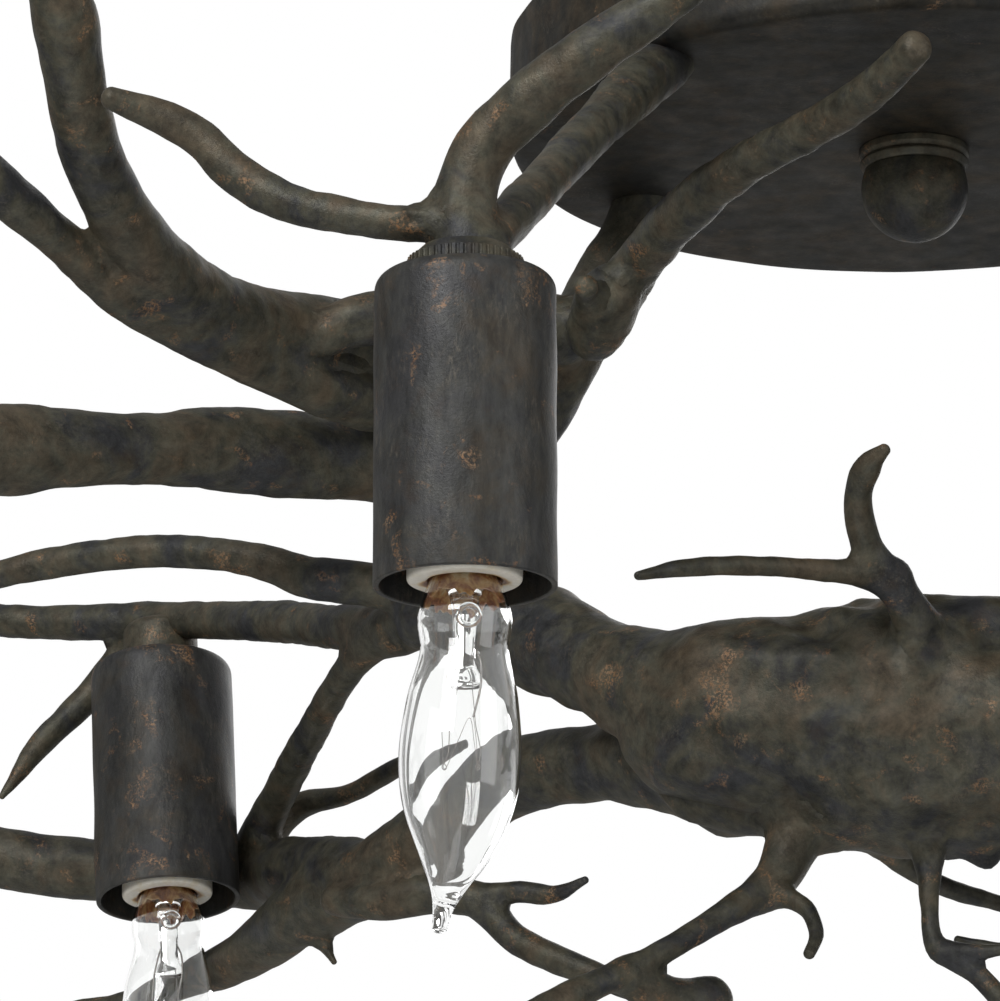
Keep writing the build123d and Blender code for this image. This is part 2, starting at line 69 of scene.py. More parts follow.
camera = bpy.data.objects.new("camera", bpy.data.cameras.new("camera"))
camera.data.sensor_width = SENSOR_MM
camera.data.lens = FOCAL_PIXELS * SENSOR_MM / IMAGE_LONG_SIDE
camera.location = camera_place
camera.rotation_euler = (camera_tilt, 0, 0)
bpy.context.scene.collection.objects.link(camera)
bpy.context.scene.camera = camera
bpy.context.scene.view_settings.view_transform = "Standard"
print("lens", round(camera.data.lens, 1), "mm")

# %% [markdown]
# ## Small helpers for materials
# Every finish here is a set of nodes on Object coordinates, which are metres in the light's own
# frame, so a speckle is as big on a twig as on the canopy. A helper that makes a node, sets its
# inputs and hands it back keeps each finish down to a few readable lines.


# %% Node helpers
def new_material(name):
    """An empty node material, with its tree and its output node."""
    material = bpy.data.materials.new(name)
    material.use_nodes = True
    tree = material.node_tree
    tree.nodes.clear()
    return material, tree, tree.nodes.new("ShaderNodeOutputMaterial")


def add(tree, kind, inputs=None, **settings):
    """A node of that kind, with its settings and with its inputs set or linked."""
    node = tree.nodes.new(kind)
    for key, value in settings.items():
        setattr(node, key, value)
    for key, value in (inputs or {}).items():
        if isinstance(value, bpy.types.NodeSocket):
            tree.links.new(value, node.inputs[key])
        else:
            node.inputs[key].default_value = value
    return node


def ramp(tree, factor, stops):
    """A colour ramp through (position, colour) stops; a colour may be one number for grey."""
    node = add(tree, "ShaderNodeValToRGB", {"Fac": factor})
    elements = node.color_ramp.elements
    while len(elements) < len(stops):
        elements.new(0.5)
    for element, (position, colour) in zip(elements, stops):
        element.position = position
        element.color = (*((colour,) * 3 if isinstance(colour, (int, float)) else colour), 1)
    return node.outputs["Color"]


def mix(tree, factor, a, b, blend="MIX"):
    """Colour a turned into colour b by a mask."""
    node = add(tree, "ShaderNodeMix", data_type="RGBA", blend_type=blend)
    for socket, value in (("Factor", factor), ("A", a), ("B", b)):
        index = {"Factor": 0, "A": 6, "B": 7}[socket]
        if isinstance(value, bpy.types.NodeSocket):
            tree.links.new(value, node.inputs[index])
        else:
            node.inputs[index].default_value = (*value, 1) if isinstance(value, tuple) else value
    return node.outputs[2]


def maths(tree, operation, a, b=0.0, clamp=False):
    """One step of arithmetic on two values."""
    return add(tree, "ShaderNodeMath", {0: a, 1: b}, operation=operation, use_clamp=clamp).outputs[0]


def noise(tree, position, length, detail=4, roughness=0.55, distortion=0.0):
    """Fractal noise whose largest blotches are about that many metres across."""
    node = add(tree, "ShaderNodeTexNoise", {"Vector": position, "Scale": 1 / length, "Detail": detail,
                                            "Roughness": roughness, "Distortion": distortion})
    return node.outputs["Fac"]


def bumped(tree, height, strength, distance):
    """A normal tilted by a height."""
    inputs = {"Height": height, "Strength": strength, "Distance": distance}
    return add(tree, "ShaderNodeBump", inputs).outputs["Normal"]


def finished(material, tree, output, inputs):
    """The material with one Principled shader on its surface."""
    shader = add(tree, "ShaderNodeBsdfPrincipled", inputs)
    tree.links.new(shader.outputs["BSDF"], output.inputs["Surface"])
    return material


def effect(name, inputs, outputs):
    """A node group with named sockets, each given as (name, type, default)."""
    group = bpy.data.node_groups.new(name, "ShaderNodeTree")
    for title, kind, default in inputs:
        socket = group.interface.new_socket(title, in_out="INPUT", socket_type=kind)
        if default is not None:
            socket.default_value = default
    for title, kind in outputs:
        group.interface.new_socket(title, in_out="OUTPUT", socket_type=kind)
    return group, group.nodes.new("NodeGroupInput"), group.nodes.new("NodeGroupOutput")


def use(tree, group, inputs):
    """One use of a node group in a material, with its inputs set or linked."""
    node = tree.nodes.new("ShaderNodeGroup")
    node.node_tree = group
    for key, value in inputs.items():
        if isinstance(value, bpy.types.NodeSocket):
            tree.links.new(value, node.inputs[key])
        else:
            node.inputs[key].default_value = value
    return node


# %% [markdown]
# ## Flecks and grain
# The finish is rubbed on by hand: where the rag breaks through, it leaves clusters of fine rust and
# copper specks a few millimetres across. One noise chooses where the clusters lie, a second and
# finer one breaks each cluster into specks, and their product is the mask. Grain is the sandy
# unevenness of the paint itself, used as a height for bump. Both go into groups, because the canopy,
# the rods and the cups all use them with their own amounts.


# %% Groups for flecks and grain
def make_flecks():
    """Mask = step(broad noise, cover) * step(fine noise): ragged clusters of small specks."""
    group, into, out = effect(
        "flecks",
        [("Vector", "NodeSocketVector", None), ("Cluster", "NodeSocketFloat", 110.0),
         ("Speck", "NodeSocketFloat", 1500.0), ("Cover", "NodeSocketFloat", 0.6)],
        [("Mask", "NodeSocketFloat")])
    position, edge, threshold = into.outputs["Vector"], 9.0, 0.47
    broad = add(group, "ShaderNodeTexNoise", {
        "Vector": position, "Scale": into.outputs["Cluster"],
        "Detail": 3, "Roughness": 0.6, "Distortion": 0.6})
    fine = add(group, "ShaderNodeTexNoise", {
        "Vector": position, "Scale": into.outputs["Speck"],
        "Detail": 4, "Roughness": 0.7, "Distortion": 0.3})
    above = maths(group, "SUBTRACT", broad.outputs["Fac"], into.outputs["Cover"])
    cluster = maths(group, "MULTIPLY", above, edge, clamp=True)
    above = maths(group, "SUBTRACT", fine.outputs["Fac"], threshold)
    specks = maths(group, "MULTIPLY", above, edge, clamp=True)
    group.links.new(maths(group, "MULTIPLY", cluster, specks), out.inputs["Mask"])
    return group


def make_grain():
    """Height = fine noise and a little coarser noise: sandy paint over forged metal."""
    group, into, out = effect(
        "grain", [("Vector", "NodeSocketVector", None), ("Coarse", "NodeSocketFloat", 0.35)],
        [("Height", "NodeSocketFloat")])
    fine = noise(group, into.outputs["Vector"], 0.7 * MM, 3, 0.7)
    coarse = noise(group, into.outputs["Vector"], 5 * MM, 3, 0.6)
    inputs = {0: into.outputs["Coarse"], 2: fine, 3: coarse}
    node = add(group, "ShaderNodeMix", inputs, data_type="FLOAT")
    group.links.new(node.outputs[0], out.inputs["Height"])
    return group


flecks = make_flecks()
grain = make_grain()


# %% [markdown]
# ## Aged bronze
# Under the flecks the paint itself drifts between blue black, olive and brown in soft patches as
# wide as a thumb, and each patch is mottled again by the rag. Fine pale sand shows where the wax has
# worn thin. It is a wax over paint, so it shines only softly: the material is a Principled shader
# with little metal in it, rough, and rougher in patches.


# %% Bronze
PALE_SAND = (0.15, 0.13, 0.10)
RUST_BROWN = (0.070, 0.040, 0.018)
COPPER = (0.26, 0.125, 0.050)
PALE_COPPER = (0.34, 0.22, 0.13)


def bronze(name, cool, olive, brown, cover, bump, gloss, streak=(1, 1, 1)):
    """Dark patina: patches cool to olive to brown, mottled in tone, pale sand, rust flecks and a
    sandy bump. The streak stretches the mottling along the axis where its share is below one."""
    material, tree, output = new_material(name)
    position = add(tree, "ShaderNodeTexCoord").outputs["Object"]
    drawn = add(tree, "ShaderNodeMapping", {"Vector": position, "Scale": streak}).outputs["Vector"]
    patches = noise(tree, position, 20 * MM, 6, 0.66, 0.5)
    base = ramp(tree, patches, [(0.38, cool), (0.50, olive), (0.64, brown)])
    tone = ramp(tree, noise(tree, drawn, 5 * MM, 5, 0.74, 0.3), [(0.30, 0.42), (0.70, 1.65)])
    base = mix(tree, 1.0, base, tone, "MULTIPLY")
    wear = ramp(tree, noise(tree, position, 11 * MM, 4, 0.65), [(0.5, 0.0), (0.7, 1.0)])
    sand = ramp(tree, noise(tree, drawn, 0.8 * MM, 3, 0.75), [(0.50, 0.0), (0.68, 1.0)])
    worn = maths(tree, "MULTIPLY", maths(tree, "MULTIPLY", wear, sand), 0.55)
    base = mix(tree, worn, base, PALE_SAND)
    stain = ramp(tree, noise(tree, position, 8 * MM, 4, 0.65), [(0.54, 0.0), (0.72, 0.5)])
    base = mix(tree, maths(tree, "MULTIPLY", stain, 0.55), base, RUST_BROWN)
    marks = use(tree, flecks, {"Vector": position, "Cover": cover}).outputs["Mask"]
    tint = ramp(tree, noise(tree, position, 2 * MM, 2), [(0.35, COPPER), (0.7, PALE_COPPER)])
    base = mix(tree, maths(tree, "MULTIPLY", marks, 0.8), base, tint)
    height = use(tree, grain, {"Vector": position}).outputs["Height"]
    rough = ramp(tree, noise(tree, drawn, 9 * MM, 4, 0.6), [(0.3, gloss), (0.75, gloss + 0.2)])
    return finished(material, tree, output, {
        "Base Color": base, "Roughness": rough, "Normal": bumped(tree, height, bump, 0.4 * MM),
        "Metallic": 0.3, "Specular IOR Level": 0.4})


aged_bronze = bronze(
    "aged_bronze", (0.033, 0.034, 0.036), (0.064, 0.061, 0.043), (0.082, 0.064, 0.041),
    cover=0.59, bump=0.6, gloss=0.42)
cup_bronze = bronze(
    "cup_bronze", (0.034, 0.034, 0.035), (0.042, 0.042, 0.039), (0.050, 0.042, 0.031),
    cover=0.59, bump=0.5, gloss=0.40, streak=(1, 1, 0.35))
# The canopy's copy of the bronze is about half as bright: painted shade for the unlit underside of the
# pan, which has the same finish as the rods.
shaded_canopy_bronze = bronze(
    "shaded_canopy_bronze", (0.016, 0.016, 0.015), (0.022, 0.020, 0.015), (0.040, 0.030, 0.018),
    cover=0.66, bump=0.25, gloss=0.46)

# %% [markdown]
# ## From numbers to a mesh
# Every new piece is a surface worked out with numpy. Its points come as a grid, rows along the piece
# by columns round it, and one function turns such grids into a mesh object: quads between the rows,
# and a fan of triangles at each end that closes on a pole. The piece's place is in its points, so
# its object stays at the origin.


# %% Grids and meshes
def closed_grid(points, first_pole, last_pole):
    """Points, quads and triangles of a grid (rows, columns, 3) that wraps round and closes on two
    poles. Faces point outwards when the columns run anticlockwise seen from the far end."""
    rows, columns = points.shape[:2]
    row = np.arange(rows - 1)[:, None] * columns
    here = np.arange(columns)[None]
    after = (here + 1) % columns
    quads = np.stack([row + here, row + after, row + columns + after, row + columns + here], -1)
    around, following = np.arange(columns), (np.arange(columns) + 1) % columns
    low_pole, high_pole = rows * columns, rows * columns + 1
    low = np.stack([following, around, np.full(columns, low_pole)], -1)
    last_row = (rows - 1) * columns
    high = np.stack([last_row + around, last_row + following, np.full(columns, high_pole)], -1)
    vertices = np.concatenate([points.reshape(-1, 3), [first_pole], [last_pole]])
    return vertices, quads.reshape(-1, 4), np.concatenate([low, high])


def ring_grid(points):
    """Points, quads and no triangles of a grid that wraps round both ways, such as a lathe profile
    that comes back to its start."""
    rows, columns = points.shape[:2]
    row = np.arange(rows)[:, None] * columns
    next_row = (np.arange(rows)[:, None] + 1) % rows * columns
    here = np.arange(columns)[None]
    after = (here + 1) % columns
    quads = np.stack([row + here, row + after, next_row + after, next_row + here], -1)
    return points.reshape(-1, 3), quads.reshape(-1, 4), np.zeros((0, 3), int)


def build(name, parts, material, body="root", replaced=(), masks=None):
    """One mesh object from several (vertices, quads, triangles) parts, riding on a body."""
    sizes = np.cumsum([0] + [len(part[0]) for part in parts])
    vertices = np.concatenate([part[0] for part in parts])
    quads = np.concatenate([part[1] + size for part, size in zip(parts, sizes)])
    triangles = np.concatenate([part[2] + size for part, size in zip(parts, sizes)])
    corners = np.concatenate([quads.ravel(), triangles.ravel()])
    starts = np.concatenate([np.arange(len(quads)) * 4, len(quads) * 4 + np.arange(len(triangles)) * 3])
    mesh = bpy.data.meshes.new(name)
    mesh.vertices.add(len(vertices))
    mesh.vertices.foreach_set("co", vertices.astype(np.float32).ravel())
    mesh.loops.add(len(corners))
    mesh.loops.foreach_set("vertex_index", corners.astype(np.int32))
    mesh.polygons.add(len(starts))
    mesh.polygons.foreach_set("loop_start", starts.astype(np.int32))
    mesh.polygons.foreach_set("use_smooth", np.ones(len(starts), bool))
    mesh.update(calc_edges=True)
    if masks is not None:
        layer = mesh.attributes.new("stain", "FLOAT", "POINT")
        layer.data.foreach_set("value", masks.astype(np.float32))
    mesh.materials.append(material)
    piece = bpy.data.objects.new(name, mesh)
    bpy.context.scene.collection.objects.link(piece)
    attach(piece, body)
    if replaced:
        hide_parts(*replaced)
    return piece


# %% [markdown]
# ## Unevenness
# Forged rod isn't round: it is knocked about, and a cast knot is lumpier still. A sum of sine waves
# with random headings gives a smooth lumpy field that needs no lattice and no table, and it works on
# whole arrays of points at once. Broad waves make the rod wander in and out, short ones dent it.


# %% A lumpy field
RIDGE_PITCH = np.array([0.19, 1, 1])


def waves(points, length, seed, count=16):
    """Sum of sine waves sin(2 pi h . p / length + phase) over random headings h, scaled to an even
    spread of about 1. The same seed gives the same field everywhere, so joined pieces agree."""
    draw = np.random.default_rng(seed)
    heading = draw.normal(size=(3, count))
    heading /= np.linalg.norm(heading, axis=0)
    pitch = draw.uniform(0.8, 1.3, count)
    phase = draw.uniform(0, 2 * np.pi, count)
    turns = points @ (heading * pitch) * (2 * np.pi / length) + phase
    return np.sin(turns).sum(-1) * np.sqrt(2 / count)


# %% [markdown]
# ## Rods
# A smith draws a rod out to a taper, upsets it where it should swell, and bends it hot, so its axis
# is a smooth curve through a few chosen stations, and its radius follows the same kind of curve.
# The curve is piecewise cubic with the slope at each station taken from its two neighbours. Rings
# are set square to it, turned along so that they never twist, and the free end is rounded over.


# %% Curves, rings and rods
def smooth_run(stations, spacing):
    """Cubic curve through stations (x, y, z, radius), one row every spacing along it.
    Knots are the straight distances added up. The slope at a knot is the mean of the slopes on both
    sides, each weighted by the other side's length, and each stretch is the cubic with those ends."""
    stations = np.asarray(stations, float)
    step = np.linalg.norm(np.diff(stations[:, :3], axis=0), axis=1)
    knots = np.concatenate([[0], np.cumsum(step)])
    chord = np.diff(stations, axis=0) / step[:, None]
    before, beyond = step[:-1, None], step[1:, None]
    inner = (beyond * chord[:-1] + before * chord[1:]) / (beyond + before)
    slope = np.concatenate([chord[:1], inner, chord[-1:]])
    at = np.linspace(0, knots[-1], max(int(knots[-1] / spacing), 4) + 1)
    k = np.clip(np.searchsorted(knots, at, side="right") - 1, 0, len(step) - 1)
    h = step[k][:, None]
    u = ((at - knots[k]) / step[k])[:, None]
    return ((2 * u**3 - 3 * u**2 + 1) * stations[k] + (u**3 - 2 * u**2 + u) * h * slope[k]
            + (3 * u**2 - 2 * u**3) * stations[k + 1] + (u**3 - u**2) * h * slope[k + 1])


def frames(centres):
    """Tangent and two sideways directions at each point of a curve. Each side is the last one made
    square to the new tangent, so the rings turn with the curve but never about it."""
    tangent = np.gradient(centres, axis=0)
    tangent /= np.linalg.norm(tangent, axis=1)[:, None]
    side = np.zeros_like(tangent)
    last = np.array([0.31, 0.22, 0.92])
    for k, direction in enumerate(tangent):
        last = last - direction * (last @ direction)
        last = last / np.linalg.norm(last)
        side[k] = last
    return tangent, side, np.cross(tangent, side)


def rounded_end(run, direction, rings=7, bluntness=0.85):
    """Rows that close the run's last radius like a ball: radius r cos(a), r sin(a) further on."""
    angle = np.linspace(0, np.pi / 2, rings + 1)[1:-1]
    radius = run[3]
    centres = run[:3] + direction * (radius * bluntness * np.sin(angle))[:, None]
    return np.column_stack([centres, radius * np.cos(angle)])


def rings(stations, spacing, around):
    """Rows of a rod before it is welded: centres, radii, outward directions round each centre and
    the points that close both ends. Outward is cos t side + sin t other."""
    run = smooth_run(stations, spacing)
    start, end = run[0, :3] - run[1, :3], run[-1, :3] - run[-2, :3]
    start, end = start / np.linalg.norm(start), end / np.linalg.norm(end)
    head = rounded_end(run[0], start, 4)[::-1]
    tail = rounded_end(run[-1], end)
    tangent, side, other = frames(run[:, :3])
    row = np.clip(np.arange(len(head) + len(run) + len(tail)) - len(head), 0, len(run) - 1)
    run = np.concatenate([head, run, tail])
    turn = np.linspace(0, 2 * np.pi, around, endpoint=False)[:, None]
    outward = np.cos(turn) * side[row][:, None] + np.sin(turn) * other[row][:, None]
    poles = run[0, :3] + start * run[0, 3] * 0.1, run[-1, :3] + end * run[-1, 3] * 0.1
    return run[:, :3], run[:, 3], outward, poles


# %% [markdown]
# ## Welding the rods together
# Where two rods meet, the weld was ground and painted over, so their surfaces flow into each other.
# Each rod is a chain of short cones, with a distance d that is negative inside. The smooth union of
# all the distances is f = -k ln(sum of exp(-d / k)), and the level surface of f is the welded frame.
# A rod's rings are let out along their own rays until they reach it. Both rods find the same level
# in the corner between them, so no edge shows. Forged rod isn't round, so the level itself is lumpy.

# %% Field of the welded frame
BLEND = 1.3 * MM
REACH = 8 * MM
SINK = 0.15 * MM


def cones(points, run):
    """Distance from points to a chain of cones and the radius at the nearest place. On the axis
    from a to b that place is a + u (b - a), u = (p - a) . (b - a) / |b - a|^2 within 0 to 1."""
    start, step = run[:-1], np.diff(run, axis=0)
    length = (step[:, :3] ** 2).sum(1)
    along = points @ step[:, :3].T - (start[:, :3] * step[:, :3]).sum(1)
    u = np.clip(along / length, 0, 1)
    square = (points**2).sum(1)[:, None] - 2 * points @ start[:, :3].T + (start[:, :3] ** 2).sum(1)
    across = np.sqrt(np.maximum(square - 2 * u * along + u**2 * length, 0))
    radius = start[:, 3] + u * step[:, 3]
    nearest = (across - radius).argmin(1)[:, None]
    distance = np.take_along_axis(across - radius, nearest, 1)[:, 0]
    return distance, np.take_along_axis(radius, nearest, 1)[:, 0]


def lumps(points, radius):
    """Unevenness of the level: broad and short waves that grow with the radius, and on the thick
    hub long ridges that run along X, as drawn-out metal has."""
    level = radius * (0.022 * waves(points, 42 * MM, 5) + 0.018 * waves(points, 15 * MM, 6))
    level += 0.06 * MM * waves(points, 6 * MM, 7)
    thick = np.clip((radius - 12 * MM) / (10 * MM), 0, 1)
    return level + thick * 0.7 * MM * waves(points * RIDGE_PITCH, 15 * MM, 8)


def weld_crust(points, welds):
    """Rough bead of a weld: short waves inside each (spot, reach, height), fading as a Gaussian."""
    crust = np.zeros(len(points))
    for spot, reach, height in welds:
        near = np.exp(-((points - np.array(spot) * MM) ** 2).sum(1) / (reach * MM) ** 2)
        crust += near * height * MM * (waves(points, 3.6 * MM, 9) + 0.5 * waves(points, 9 * MM, 10))
    return crust


def welded(centres, radii, outward, others, welds, rounds=8):
    """Rings let out to the welded frame. Each round moves a point along its ray by (level - f) over
    the slope of f seen in the last round. A ring that has to go far sinks a little under the level,
    so that of two rods the nearer one shows."""
    around = outward.shape[1]
    base = np.repeat(centres, around, 0)
    way = outward.reshape(-1, 3)
    plain = np.repeat(radii, around)
    reach = np.minimum(REACH, 0.8 * plain)
    out = plain.copy()
    close = []
    for other in others:
        low = (other[:, :3] - other[:, 3:]).min(0) - REACH
        high = (other[:, :3] + other[:, 3:]).max(0) + REACH
        spots = base + way * out[:, None]
        inside = np.flatnonzero(((spots > low) & (spots < high)).all(1))
        if len(inside):
            close.append((other, inside))
    slope = np.ones_like(out)
    moved = miss = None
    for _ in range(rounds if close else 2):
        spots = base + way * out[:, None]
        weight = np.exp((plain - out) / BLEND)
        radius = plain * weight
        for other, inside in close:
            distance, there = cones(spots[inside], other)
            pull = np.exp(-distance / BLEND)
            weight[inside] += pull
            radius[inside] += pull * there
        field = -BLEND * np.log(weight)
        level = lumps(spots, radius / weight) + weld_crust(spots, welds)
        level -= SINK * (np.maximum(out - plain, 0) / reach) ** 2
        if moved is not None:
            change = miss - (level - field)
            slope = np.clip(change / np.where(np.abs(moved) < 1e-7, np.inf, moved), 0.3, 1)
        miss = level - field
        moved = np.clip(out + np.clip(miss / slope, -2 * MM, 2 * MM), 0.6 * plain, plain + reach) - out
        out = out + moved
    return (base + way * out[:, None]).reshape(len(centres), around, 3)


# %% [markdown]
# ## Where the rods run
# The frame has two like halves, one the other turned half round. Each rod is a list of stations
# from its own start, in millimetres, and a rod that has to land on another is drawn out so that one
# of its stations falls on the meeting point. The points where rods meet are named first, because
# everything else hangs on them.


# %% Meeting points
def beside(point, dx, dy, dz):
    """Point at an offset from another."""
    return (point[0] + dx, point[1] + dy, point[2] + dz)


def between(a, b, share):
    """Point at a share of the way from a to b."""
    return tuple(p + (q - p) * share for p, q in zip(a, b))


near_neck = (-110, -174, -112)
far_neck = (-196, 170, -112)
near_root = (-65, -62.5, -28)
far_root = (-68, 41, -28)
fork = (-118, 57, -129)
hub = (0, 0, -176)
stem_end = beside(near_neck, 3.5, 0, 0)
knuckle = between(far_root, fork, 0.33)
knot = between(far_root, fork, 0.70)
lower_knot = beside(hub, -137, 120, -9)
beam_over_cup = beside(far_neck, 0, 0, 7)
burl_root = beside(knuckle, 6, -26, 0)
canopy_twig_root = beside(burl_root, -10, 10, -2)
strut_foot = beside(lower_knot, -36, 60, 13)


def route(start, stations, finish=None, meet=None):
    """Stations in metres in the light's frame, drawn out so that the meet station lands on finish."""
    run = np.array(stations, float)
    run[:, :3] += start
    if finish is not None:
        meet = meet or len(run) - 1
        share = np.minimum(np.arange(len(run)) / meet, 1)[:, None]
        run[:, :3] += (np.array(finish, float) - run[meet, :3]) * share
    return run * MM


def half_turn(run):
    """The same stations on the other half of the light: x and y change sign."""
    turned = run.copy()
    turned[:, :2] *= -1
    return turned


# %% Stations of the main rods
hub_stations = [(-64, 11, 1, 10), (-50, 8, 1.5, 21), (-30, 4, 1.5, 28), (-10, 1, 0.5, 30.6)]
stem_near_stations = [(4, 10, 7, 7.6), (-19, -51, -38, 5.4), (-41.5, -111.5, -84, 5)]
stem_far_stations = [
    (5, -1, 9, 7.6), (-2, 1, -8.5, 7.4), (-8, 1, -18.5, 7.6), (-16, 3, -36, 8.4),
    (-35, 9, -71, 8.4), (-50, 16, -101, 8.3), (-54, 17, -106.5, 6.5),
]
beam_stations = [
    (-1, 2, 0, 7.4), (-7.5, 15, -2, 7.3), (-24, 38, 3, 5.9), (-38, 61, 10, 5.8), (-60, 93, 19, 5.1),
    (-78, 113, 24, 5.2), (-98, 124, 26.5, 5), (-115, 132, 28.5, 4.7), (-131.5, 138, 32, 4.2),
    (-141, 141, 38, 2.2),
]
upper_arm_stations = [
    (-14, -2, 3, 19), (-40, 0, 8, 20.5), (-60.5, 12, 11.5, 15.8), (-79, 30, 24, 12.4),
    (-93, 46, 35.5, 13), (-108, 54, 42.5, 11), (-118, 57, 47, 7.5),
]
lower_arm_stations = [
    (-12, 8, -4, 15), (-39, 20, -4.5, 18.3), (-58, 40, 2.5, 13.6), (-78, 60, 6, 9.7),
    (-98.5, 80, 6.5, 9.6), (-119, 100, -2.5, 9.1), (-136.5, 120, -11.5, 9.5), (-155, 142, -16, 8.8),
    (-171.5, 162, -24, 6.4), (-188, 180, -27.5, 4.6), (-207.5, 194, -31.5, 3.4),
    (-220, 200, -31, 1.8),
]
knotted_limb_stations = [
    (3, 0, 0, 8), (-20, -6, 4, 11.4), (-42, -16, 2, 11), (-69, -28, 0.5, 10.6), (-91, -40, -3, 8.9),
    (-107, -48, -5, 10), (-121, -54, -7.5, 10.7), (-140, -62, -9, 10.2), (-161, -72, -5, 7.2),
    (-179, -84, 3, 4.1),
]
rising_limb_stations = [
    (-7, 24, -1, 7.6), (-11, 10, -4, 9.4), (-27, 6, -8, 10.5), (-50, 0, -13, 10.6),
    (-66, -20, -14.5, 8.8), (-93.5, -55, -19, 9.3), (-108.5, -85, -12.5, 8), (-118, -110, 0, 7.1),
    (-121.5, -128, 13.5, 7), (-124, -140, 26.5, 7), (-127, -146, 31, 4.5),
]
slim_limb_stations = [
    (-32, 8, -18, 7.5), (-50, 0, -26, 7.5), (-66, -20, -29, 6.9), (-78, -32, -27.5, 6.3),
    (-96, -52, -25, 6), (-114.5, -75, -20.5, 5.9), (-127.5, -95, -14, 4.9), (-140, -110, -7, 6),
    (-156, -130, 1, 5), (-170, -145, 10, 2.7),
]
arch_stations = [
    (-4, 5, 2, 5.6), (-18, 5, 6, 5.6), (-32, 7, 8, 5.6), (-44, 11, 13, 4.5), (-70, 23, 19.5, 4.3),
    (-99, 35, 20, 4.1), (-116, 41, 18, 3.8), (-137, 51, 13, 2.9), (-146, 55, 9, 1.6),
]
low_limb_stations = [
    (0, 0, -0.5, 7), (-2, 4, 0, 8.4), (-19, 35, 7, 8.9), (-37, 66, 11, 8.5), (-57, 74, 14, 8.3),
    (-77, 76, 15.5, 8.5), (-104, 78, 19.5, 8.2), (-122, 81, 26, 6), (-130, 83, 30, 3.2),
]
strut_stations = [
    (-13.5, 19, -2, 4.7), (-22.5, 35, -7.5, 4.1), (-37, 79, -19.5, 4.3), (-48.5, 111, -32.5, 4.8),
    (-55, 123, -43, 5.4),
]
neck_branch_stations = [
    (0, 1, -1, 6.6), (0, 1, 9, 6.5), (1, 1, 16, 6.5), (5, -1, 24, 6.2), (16, -7, 33, 6),
    (28, -13, 41, 5.7), (41, -16, 49, 5.3), (52, -18, 59, 4.7), (58, -19, 70, 3.6),
    (63, -19, 76, 1.8),
]
side_branch_stations = [
    (-1, 1, 7.5, 4.3), (-14, 0, 6, 3.8), (-27, 2, 8.5, 4), (-39.5, 4, 12.5, 4.4),
    (-50, 6, 19.5, 4.4), (-57.5, 6, 27.5, 4.1), (-68, 4, 32.5, 3.6), (-76, 1, 34.5, 2.5),
]
canopy_twig_stations = [
    (1, 0, -2, 6), (13, -14, 0, 6), (19, -30, 4.5, 6), (31, -60, 10, 5.6), (45, -85, 13, 5),
    (60, -105, 15, 4.7), (72, -125, 17, 4.4), (80, -140, 21, 3.9),
]
canopy_twig_turn = 120
cut_stub = [(-1, -6, -10, 7), (0.5, -12, -8.5, 7.8), (2, -19, -6, 8.2), (2.6, -22, -5, 7.8)]
stub_peg = [(-1, -14, -8, 3), (-2.6, -27, -7.2, 3.1), (-3.3, -35, -7, 3.1)]
weld_knob = [(-66, -34, -19, 5), (-60, -33, -15.5, 6.4), (-52, -32, -14, 6.8), (-44, -28, -15, 6)]


# %% [markdown]
# ## All the rods of the frame
# The lists above become routes in metres, one dictionary for both halves. Each entry knows which
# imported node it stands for. The hub is one swollen piece whose second half mirrors its first.

# %% Routes of the main rods
mirrored_hub = [(-x, -y, z, r) for x, y, z, r in reversed(hub_stations)]
one_half = {
    "stem_near": [route(near_root, stem_near_stations, stem_end)],
    "stem_far": [route(far_root, stem_far_stations, fork, 5)],
    "far_beam": [route(fork, beam_stations, beam_over_cup, 5)],
    "hub_arm_upper": [route(hub, upper_arm_stations, fork)],
    "hub_arm_lower": [route(hub, lower_arm_stations)],
    "knotted_limb": [route(knot, knotted_limb_stations)],
    "rising_limb": [route(burl_root, rising_limb_stations)],
    "slim_limb": [route(burl_root, slim_limb_stations)],
    "arch_rod": [route(fork, arch_stations)],
    "low_limb": [route(lower_knot, low_limb_stations)],
    "struts": [route(fork, strut_stations, strut_foot)],
    "neck_branches": [route(near_neck, neck_branch_stations), route(near_neck, side_branch_stations)],
}
routes = {"hub_burl": [route(hub, hub_stations + mirrored_hub)]}
for node, runs in one_half.items():
    if node in ("struts", "neck_branches"):
        routes[node] = runs + [half_turn(run) for run in runs]
    else:
        routes[node + "_1"] = runs
        routes[node + "_2"] = [half_turn(run) for run in runs]

# %% [markdown]
# ## Twigs
# The twigs are thin rods that spring from the hub, its arms and the limbs. Most come in pairs like
# the rest of the frame. The finest were stuck on by hand, so on the back of the hub they are turned
# and shifted copies rather than twins.

# %% Stations and routes of the twigs
long_twig = [
    (-27, 0, -16, 7.5), (-31, 0, -23.5, 7.2), (-37.5, -5, -37.5, 4.9), (-51, -12, -48, 3.3),
    (-70, -20, -60.5, 2.9), (-84, -28, -68.5, 3.5), (-98, -35, -76, 2.8), (-108, -41, -81, 1.3),
]
long_twig_spur = [
    (-39.5, -6, -39.5, 3.1), (-30, -14, -47, 1.9), (-28.5, -18, -53, 1.8), (-30.5, -22, -58.5, 1.3),
]
long_twig_stub = [(-73, -20, -64, 4), (-62, -14, -68.5, 5.9), (-53, -10, -67.5, 5.9)]
fork_twig = [
    (-2, -5, -26, 6.2), (-1, -5, -30, 4.6), (-1, -8, -43, 2.3), (0, -10, -54, 2.1),
    (10, -12, -62, 2.5), (17, -14, -70, 2.6), (26, -16, -77, 1.4),
]
fork_twig_spur = [(1, -10, -55.5, 2), (15, -14, -56, 1.4), (27, -18, -53, 1)]
low_twig = [
    (-11, 16, -22, 3), (-9, 16, -25, 2.9), (4, 22, -33, 2.3), (19, 28, -36.5, 2),
    (35, 33, -41, 1.3),
]
